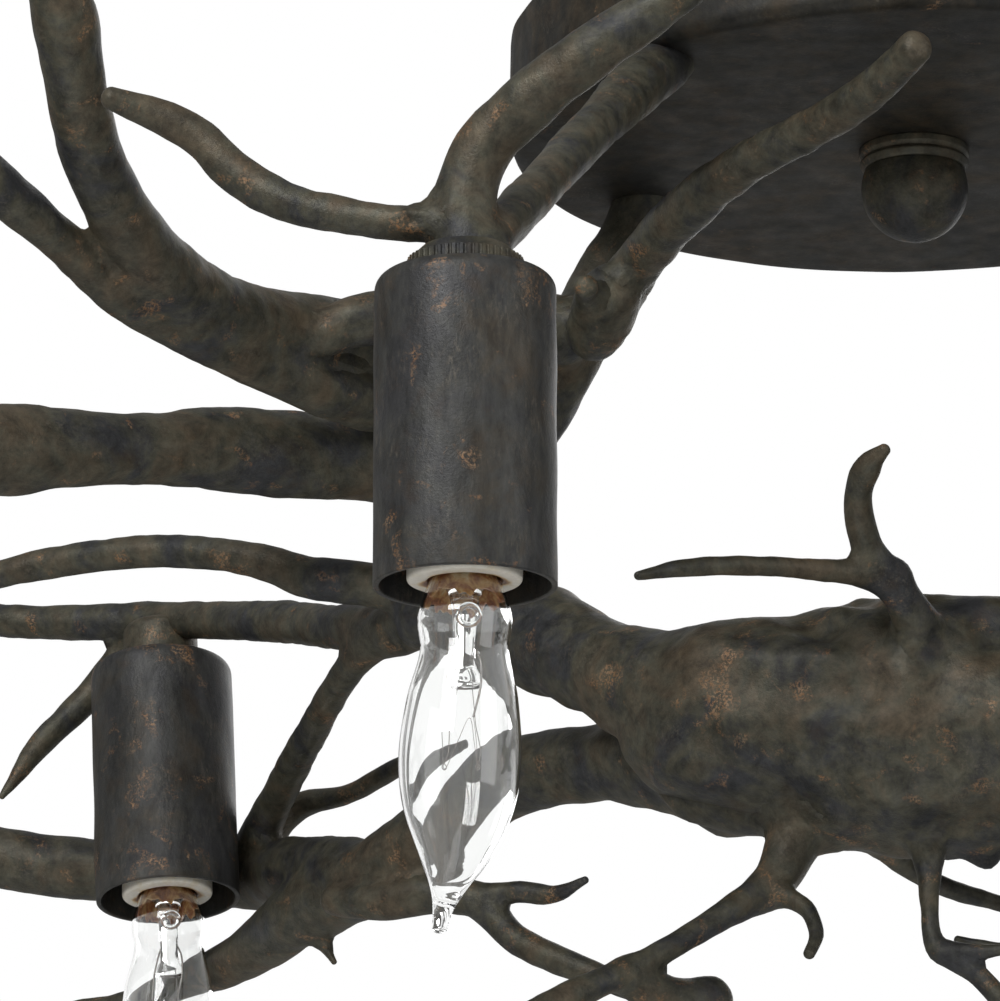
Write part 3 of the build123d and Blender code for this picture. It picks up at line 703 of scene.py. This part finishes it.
top_twig = [
    (-2, -16, 11, 7.1), (-2, -18, 13, 7.1), (-4, -28, 18.5, 5.4), (-8.5, -35, 24.5, 4),
    (-16.5, -42, 34.5, 3.7), (-19, -50, 45, 3.3), (-16.5, -58, 50.5, 3), (-13.5, -62, 52.5, 1.4),
]
top_twig_spur = [
    (-10, -36, 29, 4), (-26, -45, 28, 2.8), (-47, -55, 26.5, 2.3), (-61, -62, 24, 2.1),
    (-71, -67, 21, 1.2),
]
arm_twig = [
    (-146, 116, -18, 4), (-134, 108, -20, 5), (-120, 100.5, -19.5, 5), (-110, 96, -21.5, 4.4),
    (-98.5, 92, -33, 3.7), (-87.5, 86, -39.5, 3.7), (-74.5, 80, -46, 3), (-63, 75, -53, 1.6),
]
arm_twig_spur = [
    (-112.5, 96, -22, 2.6), (-98, 90, -21, 2.8), (-89, 86, -22.5, 2.3), (-81, 80, -20, 1),
]
arm_thorn = [
    (-154, 141, -15, 3.6), (-152.5, 141, -20, 2.8), (-150, 141, -24, 1.7), (-146.5, 139, -30, 0.7),
]
back_twig_shift = (34, -8, 4)
low_limb_twig = [
    (-36, 62, 13, 4.1), (-20, 50, 28, 3.5), (-7, 40, 29, 2.7), (7.5, 28, 34, 2.7),
    (26, 10, 36, 1.3),
]
beam_twig = [
    (-3, 6, 1, 4.7), (-9, 10, -5, 4.7), (-19.5, 12, -17.5, 4.1), (-33.5, 10, -33, 3.3),
    (-43, 6, -48, 1),
]


def turned_about(stations, point, degrees):
    """Stations turned about the vertical and then moved to a point, in metres."""
    cosine, sine = math.cos(math.radians(degrees)), math.sin(math.radians(degrees))
    turn = np.array([[cosine, -sine, 0], [sine, cosine, 0], [0, 0, 1]])
    run = np.array(stations, float)
    run[:, :3] = run[:, :3] @ turn.T + point
    return run * MM


x, y, z = canopy_twig_root
routes["canopy_twigs"] = [route(canopy_twig_root, canopy_twig_stations),
                          turned_about(canopy_twig_stations, (-x, -y, z), canopy_twig_turn)]
for stations in (cut_stub, stub_peg):
    run = route(burl_root, stations)
    routes["canopy_twigs"] += [run, half_turn(run)]
knob = route(burl_root, weld_knob)
routes["rising_limb_1"].append(knob)
routes["rising_limb_2"].append(half_turn(knob))
paired = [route(hub, stations) for stations in
          (long_twig, long_twig_spur, long_twig_stub, arm_twig, arm_twig_spur, arm_thorn)]
paired += [route(lower_knot, low_limb_twig), route(beam_over_cup, beam_twig)]
fine = [route(hub, low_twig)]
for stations in (fork_twig, fork_twig_spur, top_twig, top_twig_spur):
    fine.append(route(hub, stations))
    fine.append(turned_about(stations, beside(hub, *back_twig_shift), 180))
routes["hub_twigs"] = paired + [half_turn(run) for run in paired] + fine
print("rods", sum(len(runs) for runs in routes.values()))

# %% [markdown]
# ## Meshes of the rods
# Each rod is let out to the level surface with all the others as its neighbours. A thick rod gets
# more points round it and closer rings.

# %% Meshes of the rods
CHAIN_STEP = 3 * MM
chains = {(node, k): smooth_run(run, CHAIN_STEP)
          for node, runs in routes.items() for k, run in enumerate(runs)}
welds = [(burl_root, 16, 0.3), (beside(near_neck, -9, -4, 7), 6, 0.5)]
welds += [((-x, -y, z), reach, height) for (x, y, z), reach, height in welds]
for node, runs in routes.items():
    parts = []
    for k, run in enumerate(runs):
        thick = run[:, 3].max()
        around = 144 if thick > 20 * MM else 64 if thick > 9 * MM else 44 if thick > 5 * MM else 30
        centres, radii, outward, poles = rings(run, 1.3 * MM if thick > 20 * MM else 1.6 * MM, around)
        others = [chain for key, chain in chains.items() if key != (node, k)]
        parts.append(closed_grid(welded(centres, radii, outward, others, welds), *poles))
    build(f"forged_{node}", parts, aged_bronze, replaced=[node])

# %% [markdown]
# ## Bare metals, plastics and glass
# The hardware is plain: zinc on the crossbar, brass in the sockets, a green dyed ground screw. One
# recipe with a worn tone and uneven gloss serves them all. The bulbs are smooth clear glass.

# %% Simple finishes
def plain_metal(name, colour, worn, roughness, metallic=1.0):
    """Bare or plated metal: colour drifting to a worn tone, uneven roughness, fine bump."""
    material, tree, output = new_material(name)
    position = add(tree, "ShaderNodeTexCoord").outputs["Object"]
    drift = ramp(tree, noise(tree, position, 5 * MM, 4, 0.6), [(0.35, 0.0), (0.7, 1.0)])
    base = mix(tree, drift, colour, worn)
    rough = ramp(tree, noise(tree, position, 3 * MM, 3), [(0.3, roughness), (0.75, roughness + 0.18)])
    height = use(tree, grain, {"Vector": position, "Coarse": 0.2}).outputs["Height"]
    return finished(material, tree, output, {
        "Base Color": base, "Roughness": rough, "Normal": bumped(tree, height, 0.15, 0.2 * MM),
        "Metallic": metallic})


zinc = plain_metal("zinc_plate", (0.52, 0.52, 0.50), (0.36, 0.36, 0.33), 0.32)
dull_brass = plain_metal("dull_brass", (0.50, 0.30, 0.13), (0.26, 0.12, 0.05), 0.32)
green_dye = plain_metal("green_dyed_screw", (0.03, 0.20, 0.07), (0.05, 0.12, 0.06), 0.35, 0.5)
sleeve = plain_metal("lead_sleeve", (0.035, 0.033, 0.030), (0.06, 0.055, 0.05), 0.55, 0.0)
connector = plain_metal("connector_plastic", (0.62, 0.16, 0.03), (0.50, 0.12, 0.03), 0.38, 0.0)


def clear_glass(name):
    """Clear soft glass: smooth, with the index of lamp glass."""
    return finished(*new_material(name), {
        "Base Color": (0.98, 0.985, 0.98, 1), "Roughness": 0.0, "IOR": 1.5, "Transmission Weight": 1.0})


lamp_glass = clear_glass("lamp_glass")

# %% [markdown]
# ## Turned and pressed pieces
# The canopy, the cups, the sockets and the finial are all figures of revolution, spun or turned on
# a lathe. One profile, carried round the axis, makes each of them. Sharp corners look wrong at this
# size, so a profile is given as corners with a radius each, and every corner is rounded by an arc.


# %% Profiles and lathe
def softened(corners, steps=6):
    """Closed profile through corners (radius, height, rounding). At each corner the arc starts where
    its tangent point lies, rounding / tan(half the angle) back, and is drawn as a quadratic curve
    with the corner as its control point."""
    corners = np.array(corners, float)
    spot, size = corners[:, :2], corners[:, 2]
    back, ahead = np.roll(spot, 1, axis=0) - spot, np.roll(spot, -1, axis=0) - spot
    back_length = np.linalg.norm(back, axis=1)
    ahead_length = np.linalg.norm(ahead, axis=1)
    back, ahead = back / back_length[:, None], ahead / ahead_length[:, None]
    half = np.arccos(np.clip((back * ahead).sum(1), -1, 1)) / 2
    reach = np.minimum(size / np.tan(half), 0.49 * np.minimum(back_length, ahead_length))[:, None]
    t = np.linspace(0, 1, steps + 1)[None, :, None]
    first, middle, last = (spot + back * reach)[:, None], spot[:, None], (spot + ahead * reach)[:, None]
    curve = (1 - t) ** 2 * first + 2 * t * (1 - t) * middle + t**2 * last
    return curve.reshape(-1, 2)


def subdivided(profile, longest):
    """The closed profile with points added so that no stretch is longer than that."""
    following = np.roll(profile, -1, axis=0)
    counts = np.maximum(np.ceil(np.linalg.norm(following - profile, axis=1) / longest).astype(int), 1)
    start = np.repeat(profile, counts, axis=0)
    run = np.repeat(following - profile, counts, axis=0)
    first = np.repeat(np.cumsum(counts) - counts, counts)
    share = (np.arange(counts.sum()) - first) / np.repeat(counts, counts)
    return start + run * share[:, None]


def lathe(profile, around=128, dent=0.0, seed=3):
    """A closed profile carried round Z as (r cos t, r sin t, z), in millimetres, with the radius
    dented by the lumpy field. Returned as (vertices, quads, triangles)."""
    turn = np.linspace(0, 2 * np.pi, around, endpoint=False)
    circle = np.stack([np.cos(turn), np.sin(turn)], -1)
    points = np.concatenate([profile[:, None, :1] * circle[None],
                             np.broadcast_to(profile[:, None, 1:], (len(profile), around, 1))], -1)
    if dent:
        points[..., :2] += circle * (dent * waves(points, 22, seed))[..., None]
    return ring_grid(points)


def facing_out(part, hollow=False):
    """The part with its faces turned outwards, found from the sign of its volume, which is the sum
    of a . (b x c) / 6 over its triangles. A hollow faces inwards, away from the wall round it."""
    vertices, quads, triangles = part
    halves = np.concatenate([quads[:, [0, 1, 2]], quads[:, [0, 2, 3]], triangles])
    a, b, c = (vertices[halves[:, k]] - vertices.mean(0) for k in range(3))
    volume = np.einsum("ij,ij->", a, np.cross(b, c)) / 6
    if (volume < 0) != hollow:
        return vertices, quads[:, ::-1], triangles[:, ::-1]
    return part


# %% [markdown]
# ## The four lights
# Two lights are placed one by one, and the other two are the same turned half round. The near one
# hangs plumb. The far one hangs from a beam that sags, so it leans. Everything on a light is drawn
# upright with the top of its cup at the origin and is then put in its place.

# %% Places of the lights
FAR_LEAN = 8
FAR_SIDE_LEAN = 3


def leaning(about_x, about_y):
    """Rotation matrix for a turn about Y and then about X, in degrees."""
    a, b = math.radians(about_x), math.radians(about_y)
    about_x = np.array([[1, 0, 0], [0, math.cos(a), -math.sin(a)], [0, math.sin(a), math.cos(a)]])
    about_y = np.array([[math.cos(b), 0, math.sin(b)], [0, 1, 0], [-math.sin(b), 0, math.cos(b)]])
    return about_x @ about_y


half_round = np.diag([-1.0, -1.0, 1.0])
near_turn, far_turn = np.eye(3), leaning(-FAR_LEAN, -FAR_SIDE_LEAN)
lights = {
    1: (near_turn, np.array(near_neck)),
    2: (far_turn, np.array(far_neck)),
    3: (half_round @ near_turn, half_round @ near_neck),
    4: (half_round @ far_turn, half_round @ far_neck),
}


def put(part, light):
    """A part drawn upright in millimetres, put in its place on a light, in metres."""
    turn, spot = lights[light]
    return ((part[0] @ turn.T + spot) * MM, *part[1:])


# %% [markdown]
# ## Cups
# Each cup is a deep-drawn steel thimble with a wide shoulder and a thin open rim, a little dented
# from handling. Its wall is real, so light reaches the inside as it does on the photograph, and the
# rim shows as a thin pale line.

# %% Cups
cup_r, cup_low, cup_top, cup_wall, neck_hole_r = 19.3, -74, -5.1, 1.3, 5.05
cup_flat_r, cup_fall, cup_round = 12.5, 1.8, 4
cup_inner_r, cup_inner_top = cup_r - cup_wall, cup_top - cup_wall
cup_profile = subdivided(softened([
    (neck_hole_r, cup_top, 0.2), (cup_flat_r, cup_top, 2), (cup_r, cup_top - cup_fall, cup_round),
    (cup_r, cup_low, 0.45), (cup_inner_r, cup_low, 0.45),
    (cup_inner_r, cup_inner_top - cup_fall, cup_round - cup_wall),
    (cup_flat_r - cup_wall, cup_inner_top, 2), (neck_hole_r, cup_inner_top, 0.2)], 10), 2.5)
for light in lights:
    cup = put(facing_out(lathe(cup_profile, dent=0.07, seed=30 + light)), light)
    build(f"drawn_cup_{light}", [cup], cup_bronze, replaced=[f"light_cup_{light}"])

# %% [markdown]
# ## Lampholders
# A candelabra socket is fired porcelain: a thick-walled tube with a rolled lip, and a coned mouth
# that guides the bulb in. Years of heat stain the mouth amber and brown. The stain is kept on the
# mesh as a number at each point, so that it follows the lip on a leaning light too.

# %% Porcelain lampholders
holder_r, holder_low, holder_high = 12.1, -73, -35
mouth_r, mouth_top, bore_r, base_seat = 8.1, -68, 6.35, -71
holder_profile = subdivided(softened([
    (holder_r, holder_low, 1.1), (holder_r, holder_high, 1.0), (bore_r, holder_high, 0.3),
    (bore_r, mouth_top, 0.4), (mouth_r - 0.2, holder_low + 0.3, 0.4),
    (mouth_r + 0.3, holder_low, 0.3)], 8), 1.2)


def stain_of(part):
    """Amount of stain from 0 at the outer wall to 1 in the mouth, ragged round the lip."""
    points = part[0]
    radius = np.linalg.norm(points[:, :2], axis=1)
    edge = mouth_r + 0.9 + 0.7 * waves(points, 9, 71)
    return np.clip((edge - radius) / 1.4, 0, 1) * np.clip((points[:, 2] - holder_high) / -4, 0, 1)


def stained_porcelain():
    """Off-white glaze turning amber, then brown, by the stain number on the mesh."""
    material, tree, output = new_material("stained_porcelain")
    position = add(tree, "ShaderNodeTexCoord").outputs["Object"]
    stain = add(tree, "ShaderNodeAttribute", attribute_name="stain").outputs["Fac"]
    blotch = noise(tree, position, 3 * MM, 4, 0.65)
    ragged = maths(tree, "MULTIPLY", maths(tree, "SUBTRACT", blotch, 0.5), 0.9)
    base = ramp(tree, maths(tree, "ADD", stain, ragged, clamp=True), [
        (0.0, (0.82, 0.78, 0.69)), (0.3, (0.74, 0.62, 0.40)), (0.55, (0.50, 0.28, 0.09)),
        (0.9, (0.20, 0.075, 0.025))])
    dust = ramp(tree, noise(tree, position, 1.2 * MM, 3), [(0.4, 0.0), (0.75, 0.25)])
    base = mix(tree, dust, base, (0.45, 0.38, 0.28))
    height = use(tree, grain, {"Vector": position}).outputs["Height"]
    return finished(material, tree, output, {
        "Base Color": base, "Roughness": 0.38, "Normal": bumped(tree, height, 0.12, 0.2 * MM)})


porcelain = stained_porcelain()
holder = facing_out(lathe(holder_profile, 96, 0.05, 50))
holder_stain = stain_of(holder)
for light in lights:
    build(f"porcelain_socket_{light}", [put(holder, light)], porcelain,
          replaced=[f"lampholder_{light}"], masks=holder_stain)

# %% [markdown]
# ## Bulb glass
# The bulb is blown into a flame shape: a bulge over the base, a slight waist, a long belly, and a
# tip drawn out and bent aside, where the glass stays solid. It is a real shell with an outer and an
# inner surface, because a clear bulb is mostly the bright and dark lines that a thin wall bends.

# %% Bulb glass
glass_wall = 0.55
glass_stations = [
    (0, 0, 0, 6.9), (0, 0, -4, 8.3), (0, 0, -10, 9.9), (0, 0, -15.5, 9.3), (-0.5, 0, -27, 11.6),
    (-1, 0, -40, 12.7), (-1.2, 0, -50, 11.5), (-1.8, 0, -60.5, 7.3), (-3.6, 0, -68.5, 3.1),
    (-4.5, 0, -72, 2), (-5, 0, -75, 1.6),
]


def blown(stations, inset, around=64, spacing=0.8):
    """Level rings centre + (r cos t, r sin t, 0) down a smooth run, drawn in by the inset, with both
    ends rounded over."""
    run = smooth_run(stations, spacing)
    run[:, 3] = np.maximum(run[:, 3] - inset, 0.15)
    run[:, 2] += base_seat
    up, down = np.array([0, 0, 1.0]), np.array([0, 0, -1.0])
    run = np.concatenate([rounded_end(run[0], up, 5, 0.12)[::-1], run, rounded_end(run[-1], down, 6)])
    turn = np.linspace(0, 2 * np.pi, around, endpoint=False)
    circle = np.stack([np.cos(turn), np.sin(turn), np.zeros(around)], -1)
    points = run[:, None, :3] + circle[None] * run[:, 3][:, None, None]
    return closed_grid(points, run[0, :3] + up * 0.02, run[-1, :3] + down * 0.02)


outer_glass = facing_out(blown(glass_stations, 0))
inner_glass = facing_out(blown(glass_stations[:9], glass_wall), hollow=True)
for light in lights:
    shell = [put(outer_glass, light), put(inner_glass, light)]
    build(f"blown_bulb_{light}", shell, lamp_glass,
          body=f"bulb_{light}", replaced=[f"bulb_glass_{light}"])

# %% [markdown]
# ## Inside the bulb
# A flared glass stem rises out of the base and is pinched flat at its end, where it grips the
# wires. Above the pinch is the hole through which the bulb was pumped out. Two stout wires bring the
# current down, two fine hooks hold the filament, and the filament itself zigzags between them. A
# ragged ring of brown cement, seen through the neck, holds the glass in its brass base.


# %% Stem, wires and cement
def tube_along(points, radius, around=10, spacing=0.4):
    """A round wire through points (x, y, z), closed at both ends."""
    run = smooth_run([(*p, radius) for p in points], spacing)
    start, end = run[0, :3] - run[1, :3], run[-1, :3] - run[-2, :3]
    tangent, side, other = frames(run[:, :3])
    turn = np.linspace(0, 2 * np.pi, around, endpoint=False)
    outward = np.cos(turn)[None, :, None] * side[:, None] + np.sin(turn)[None, :, None] * other[:, None]
    points = run[:, None, :3] + outward * run[:, 3][:, None, None]
    return facing_out(closed_grid(points, run[0, :3] + start * 0.3, run[-1, :3] + end * 0.3))


def stem_glass():
    """Flare and stem as level ovals: the half width and half depth go down with height, and the
    pinch at the low end is wide and flat."""
    rows = np.array([(-71.6, 6.0, 6.0), (-73.5, 4.6, 4.6), (-76, 3.3, 3.3), (-79, 2.7, 2.7),
                     (-84, 2.5, 2.4), (-88.5, 2.3, 1.9), (-91.5, 2.5, 1.3), (-93, 3.3, 1.3),
                     (-94.6, 3.6, 1.4), (-95.8, 2.9, 1.1)])
    at = np.linspace(rows[0, 0], rows[-1, 0], 60)
    wide = np.interp(at, rows[::-1, 0], rows[::-1, 1])
    deep = np.interp(at, rows[::-1, 0], rows[::-1, 2])
    turn = np.linspace(0, 2 * np.pi, 40, endpoint=False)
    points = np.stack([wide[:, None] * np.cos(turn), deep[:, None] * np.sin(turn),
                       np.broadcast_to(at[:, None], (60, 40))], -1)
    return facing_out(closed_grid(points, (0, 0, rows[0, 0] + 0.1), (0, 0, rows[-1, 0] - 0.3)))


def pump_hole():
    """A glass ring on the front of the stem: a circle of radius 0.7 carried round one of 2.1."""
    turn, roll = np.meshgrid(np.linspace(0, 2 * np.pi, 32, endpoint=False),
                             np.linspace(0, 2 * np.pi, 12, endpoint=False))
    reach = 2.1 + 0.7 * np.cos(roll)
    x, y, z = 0.8, -3.1, -80.8
    points = [x + reach * np.cos(turn), y + 0.7 * np.sin(roll), z + reach * np.sin(turn)]
    return facing_out(ring_grid(np.stack(points, -1)))


support_routes = [[(-1.6, 0, -86), (-3.0, 0.3, -90), (-4.0, 0.3, -94), (-4.9, 0, -101.8)],
                  [(1.6, 0, -86), (3.2, -0.3, -90), (3.4, -0.3, -94), (1.8, 0, -101.8)]]
hook_routes = [[(-1.2, 0.2, -94), (-3.0, 0.8, -103), (-4.2, 0.9, -111.4), (-4.7, 0.9, -112.2),
                (-4.2, 0.9, -112.8), (-3.7, 0.9, -112.2), (-4.1, 0.9, -111.6)],
               [(1.4, 0.2, -94), (2.2, -0.8, -103), (2.7, -0.9, -111.8), (2.2, -0.9, -112.6),
                (2.7, -0.9, -113.2), (3.2, -0.9, -112.6), (2.8, -0.9, -112)]]
filament_route = [(-4.9, 0, -101.6), (-4.6, 0.6, -107), (-4.2, 0.9, -112.6), (-1.5, 0.4, -107),
                  (1.0, 0, -102), (2.0, -0.6, -107.5), (2.7, -0.9, -113), (2.4, -0.5, -107),
                  (1.8, 0, -101.6)]


def cement_ring(around=160):
    """A thin ragged skirt inside the neck: radius follows the glass less its wall, and the low edge
    wanders up and down with the lumpy field."""
    turn = np.linspace(0, 2 * np.pi, around, endpoint=False)
    stations = smooth_run(glass_stations, 0.5)
    share = np.concatenate([np.linspace(0, 1, 14), np.linspace(1, 0, 14)])[:, None]
    inner = np.arange(28)[:, None] >= 14
    circle = np.stack([np.cos(turn), np.sin(turn), 0 * turn], -1)
    low = -76.9 + 0.8 * waves(circle * 8, 5, 12) + 0.35 * waves(circle * 8, 2, 13)
    z = -71.2 * (1 - share) + low[None] * share
    glass = np.interp(-(z - base_seat), -stations[:, 2], stations[:, 3])
    radius = glass - glass_wall - 0.12 - 0.5 * inner
    radius = radius + 0.08 * waves(circle * 8, 1.7, 14)[None]
    points = np.stack([radius * np.cos(turn), radius * np.sin(turn), z], -1)
    return facing_out(ring_grid(points))


def cement_finish():
    """Baked phenolic cement: amber and red-brown blotches, a little shiny."""
    material, tree, output = new_material("base_cement")
    position = add(tree, "ShaderNodeTexCoord").outputs["Object"]
    base = ramp(tree, noise(tree, position, 3.5 * MM, 5, 0.7, 0.5),
                [(0.33, (0.16, 0.045, 0.022)), (0.46, (0.34, 0.13, 0.045)), (0.56, (0.56, 0.33, 0.13)),
                 (0.7, (0.68, 0.56, 0.36))])
    height = noise(tree, position, 1.0 * MM, 3)
    return finished(material, tree, output, {
        "Base Color": base, "Roughness": 0.4, "Normal": bumped(tree, height, 0.4, 0.3 * MM)})


wire = plain_metal("lamp_wire", (0.30, 0.29, 0.28), (0.16, 0.13, 0.11), 0.3)
cement = cement_finish()
for light in lights:
    body = f"bulb_{light}"
    glass_parts = [put(stem_glass(), light), put(pump_hole(), light)]
    build(f"pinched_stem_{light}", glass_parts, lamp_glass, body=body,
          replaced=[f"bulb_mount_{light}"])
    wires = [tube_along(points, 0.24) for points in support_routes]
    wires += [tube_along(points, 0.10, 8, 0.2) for points in hook_routes]
    wires.append(tube_along(filament_route, 0.07, 8, 0.2))
    build(f"wires_{light}", [put(part, light) for part in wires], wire, body=body)
    build(f"neck_cement_{light}", [put(cement_ring(), light)], cement, body=body)

# %% [markdown]
# ## Canopy and finial
# The canopy is a spun pan with a rounded corner. Seen from below it takes up the whole ceiling end
# of the view, so its big flat face gets a very slight unevenness and its rim is rolled. Under it the
# check ring and the ball are turned from solid and painted with everything else. The pan is drawn
# without the holes for the leads, so they pass through its wall where the stems cover them.

# %% Canopy, check ring and ball
canopy_r, canopy_h, canopy_wall, canopy_corner = 100, 28, 1.2, 4
pipe_hole_r = 5.05
canopy_inner_r, canopy_inner_low = canopy_r - canopy_wall, canopy_wall - canopy_h
canopy_profile = subdivided(softened([
    (pipe_hole_r, -canopy_h, 0.2), (canopy_r, -canopy_h, canopy_corner), (canopy_r, 0, 0.4),
    (canopy_inner_r, 0, 0.4), (canopy_inner_r, canopy_inner_low, canopy_corner - canopy_wall),
    (pipe_hole_r, canopy_inner_low, 0.2)], 10), 2.5)
ring_r, ring_top, ring_h, ring_groove = 13.6, -28, 5.5, 0.9
ball_r, ball_drop, thread_depth = 13.2, 4.9, 13
ball_top = ring_top - ring_h
groove_z = ring_top - ring_h / 2
ring_profile = subdivided(softened([
    (pipe_hole_r, ring_top, 0.1), (ring_r, ring_top, 0.5), (ring_r, groove_z + ring_groove, 0.7),
    (ring_r - ring_groove, groove_z, 0.3), (ring_r, groove_z - ring_groove, 0.7),
    (ring_r - ring_groove, ball_top, 0.8), (pipe_hole_r, ball_top, 0.1)], 6), 0.8)


def ball_profile():
    """Half section of the finial: an arc of the ball from its foot up to its flat top, and the
    threaded hole up its middle."""
    angle = np.linspace(-math.pi / 2 + 0.02, math.asin(ball_drop / ball_r), 60)
    arc = np.stack([ball_r * np.cos(angle), ball_top - ball_drop + ball_r * np.sin(angle)], -1)
    thread_top = ball_top - thread_depth
    foot = (ball_r * math.cos(angle[0]), thread_top)
    hole = [(pipe_hole_r, ball_top), (pipe_hole_r, thread_top), foot]
    return subdivided(np.concatenate([arc, hole]), 1.2)


def in_metres(part):
    """A part drawn in millimetres in the light's own frame."""
    return (part[0] * MM, *part[1:])


turned_pieces = {
    # The canopy takes the darker copy of the bronze, painted shade for its underside.
    "spun_canopy": (canopy_profile, 256, 0.10, shaded_canopy_bronze, "canopy_pan", "root"),
    "turned_check_ring": (ring_profile, 96, 0.03, aged_bronze, "finial_check_ring", "finial_ring"),
    "turned_ball": (ball_profile(), 96, 0.05, aged_bronze, "finial_ball", "finial"),
}
for name, (profile, around, dent, finish, node, body) in turned_pieces.items():
    part = in_metres(facing_out(lathe(profile, around, dent, 61)))
    build(name, [part], finish, body=body, replaced=[node])

# %% [markdown]
# ## What stays as packed
# The small turned and stamped pieces are right as they are and only need their finish.

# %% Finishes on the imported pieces
slot_finish = {
    "aged_bronze": aged_bronze, "zinc_steel": zinc, "brass": dull_brass, "green_screw": green_dye,
    "lead_sleeve": sleeve, "connector_plastic": connector, "porcelain": porcelain,
    "bulb_glass": lamp_glass,
}
slots = {entry["node"]: entry["material_slot"] for entry in frame["record"]["subparts"]}
for node, packed in frame["nodes"].items():
    packed.data.materials.clear()
    packed.data.materials.append(slot_finish[slots[node]])

# %% [markdown]
# ## Light and backdrop
# A white room: the world is white to the camera and through glass, and its light on the object is
# kept to a plain level. Large soft lamps shape the rods: a key from the upper left, a fill from the
# right, a low one for the underside and one behind. The pale floor is as far below as in a room, so
# that the light can be looked at from below too, and its back can be seen through.


# %% World, floor and lamps
def plainly_seen(tree):
    """1 for the rays that show a background: the camera's, and those through or off clear glass."""
    path = add(tree, "ShaderNodeLightPath")
    seen = maths(tree, "MAXIMUM", path.outputs["Is Camera Ray"], path.outputs["Is Transmission Ray"])
    return maths(tree, "MAXIMUM", seen, path.outputs["Is Singular Ray"])


def white_world(level, gloss):
    """White to the camera, through glass and in mirror-smooth glass, dimmer in the satin shine of
    bronze, and a plain level of light otherwise."""
    world = bpy.data.worlds.new("studio")
    bpy.context.scene.world = world
    world.use_nodes = True
    tree = world.node_tree
    tree.nodes.clear()
    glossy = add(tree, "ShaderNodeLightPath").outputs["Is Glossy Ray"]
    plain = maths(tree, "ADD", maths(tree, "MULTIPLY", glossy, gloss - level), level)
    strength = maths(tree, "MAXIMUM", plainly_seen(tree), plain)
    background = add(tree, "ShaderNodeBackground", {"Color": (1, 1, 1, 1), "Strength": strength})
    output = add(tree, "ShaderNodeOutputWorld")
    tree.links.new(background.outputs["Background"], output.inputs["Surface"])


def lamp(name, place, size, power):
    """A square soft lamp that points at the middle of the object."""
    light = bpy.data.lights.new(name, "AREA")
    light.size = size
    light.energy = power
    holder = bpy.data.objects.new(name, light)
    bpy.context.scene.collection.objects.link(holder)
    holder.location = place
    way = Vector((0, 0, -0.15)) - Vector(place)
    holder.rotation_euler = way.to_track_quat("-Z", "Y").to_euler()


FLOOR_Z = -2.4
FLOOR_SIZE = 30
FLOOR_GLOW = 0.55


def pale_floor():
    """A large plane, see-through from below. Its top is pale and lifted towards white by a faint
    glow, which only the camera and glass see, so that it sheds no more light on the object."""
    half = FLOOR_SIZE / 2
    mesh = bpy.data.meshes.new("floor")
    corners = [(-half, -half), (half, -half), (half, half), (-half, half)]
    mesh.from_pydata([(x, y, FLOOR_Z) for x, y in corners], [], [(0, 1, 2, 3)])
    floor = bpy.data.objects.new("floor", mesh)
    bpy.context.scene.collection.objects.link(floor)
    material, tree, output = new_material("floor")
    pale = add(tree, "ShaderNodeBsdfDiffuse", {"Color": (0.86, 0.86, 0.85, 1)})
    clear = add(tree, "ShaderNodeBsdfTransparent")
    strength = maths(tree, "MULTIPLY", plainly_seen(tree), FLOOR_GLOW)
    glow = add(tree, "ShaderNodeEmission", {"Color": (1, 1, 1, 1), "Strength": strength})
    top = add(tree, "ShaderNodeAddShader", {0: pale.outputs[0], 1: glow.outputs[0]})
    back = add(tree, "ShaderNodeNewGeometry").outputs["Backfacing"]
    both = add(tree, "ShaderNodeMixShader", {0: back, 1: top.outputs[0], 2: clear.outputs[0]})
    tree.links.new(both.outputs[0], output.inputs["Surface"])
    mesh.materials.append(material)


white_world(level=0.34, gloss=0.3)
pale_floor()
lamp("key", (-0.9, -1.7, 0.9), size=1.0, power=30)
lamp("fill", (1.6, -1.2, 0.2), size=1.2, power=8)
lamp("under", (-0.3, -0.9, -1.5), size=1.2, power=4.5)
lamp("back", (0.6, 1.7, 0.5), size=1.2, power=8)
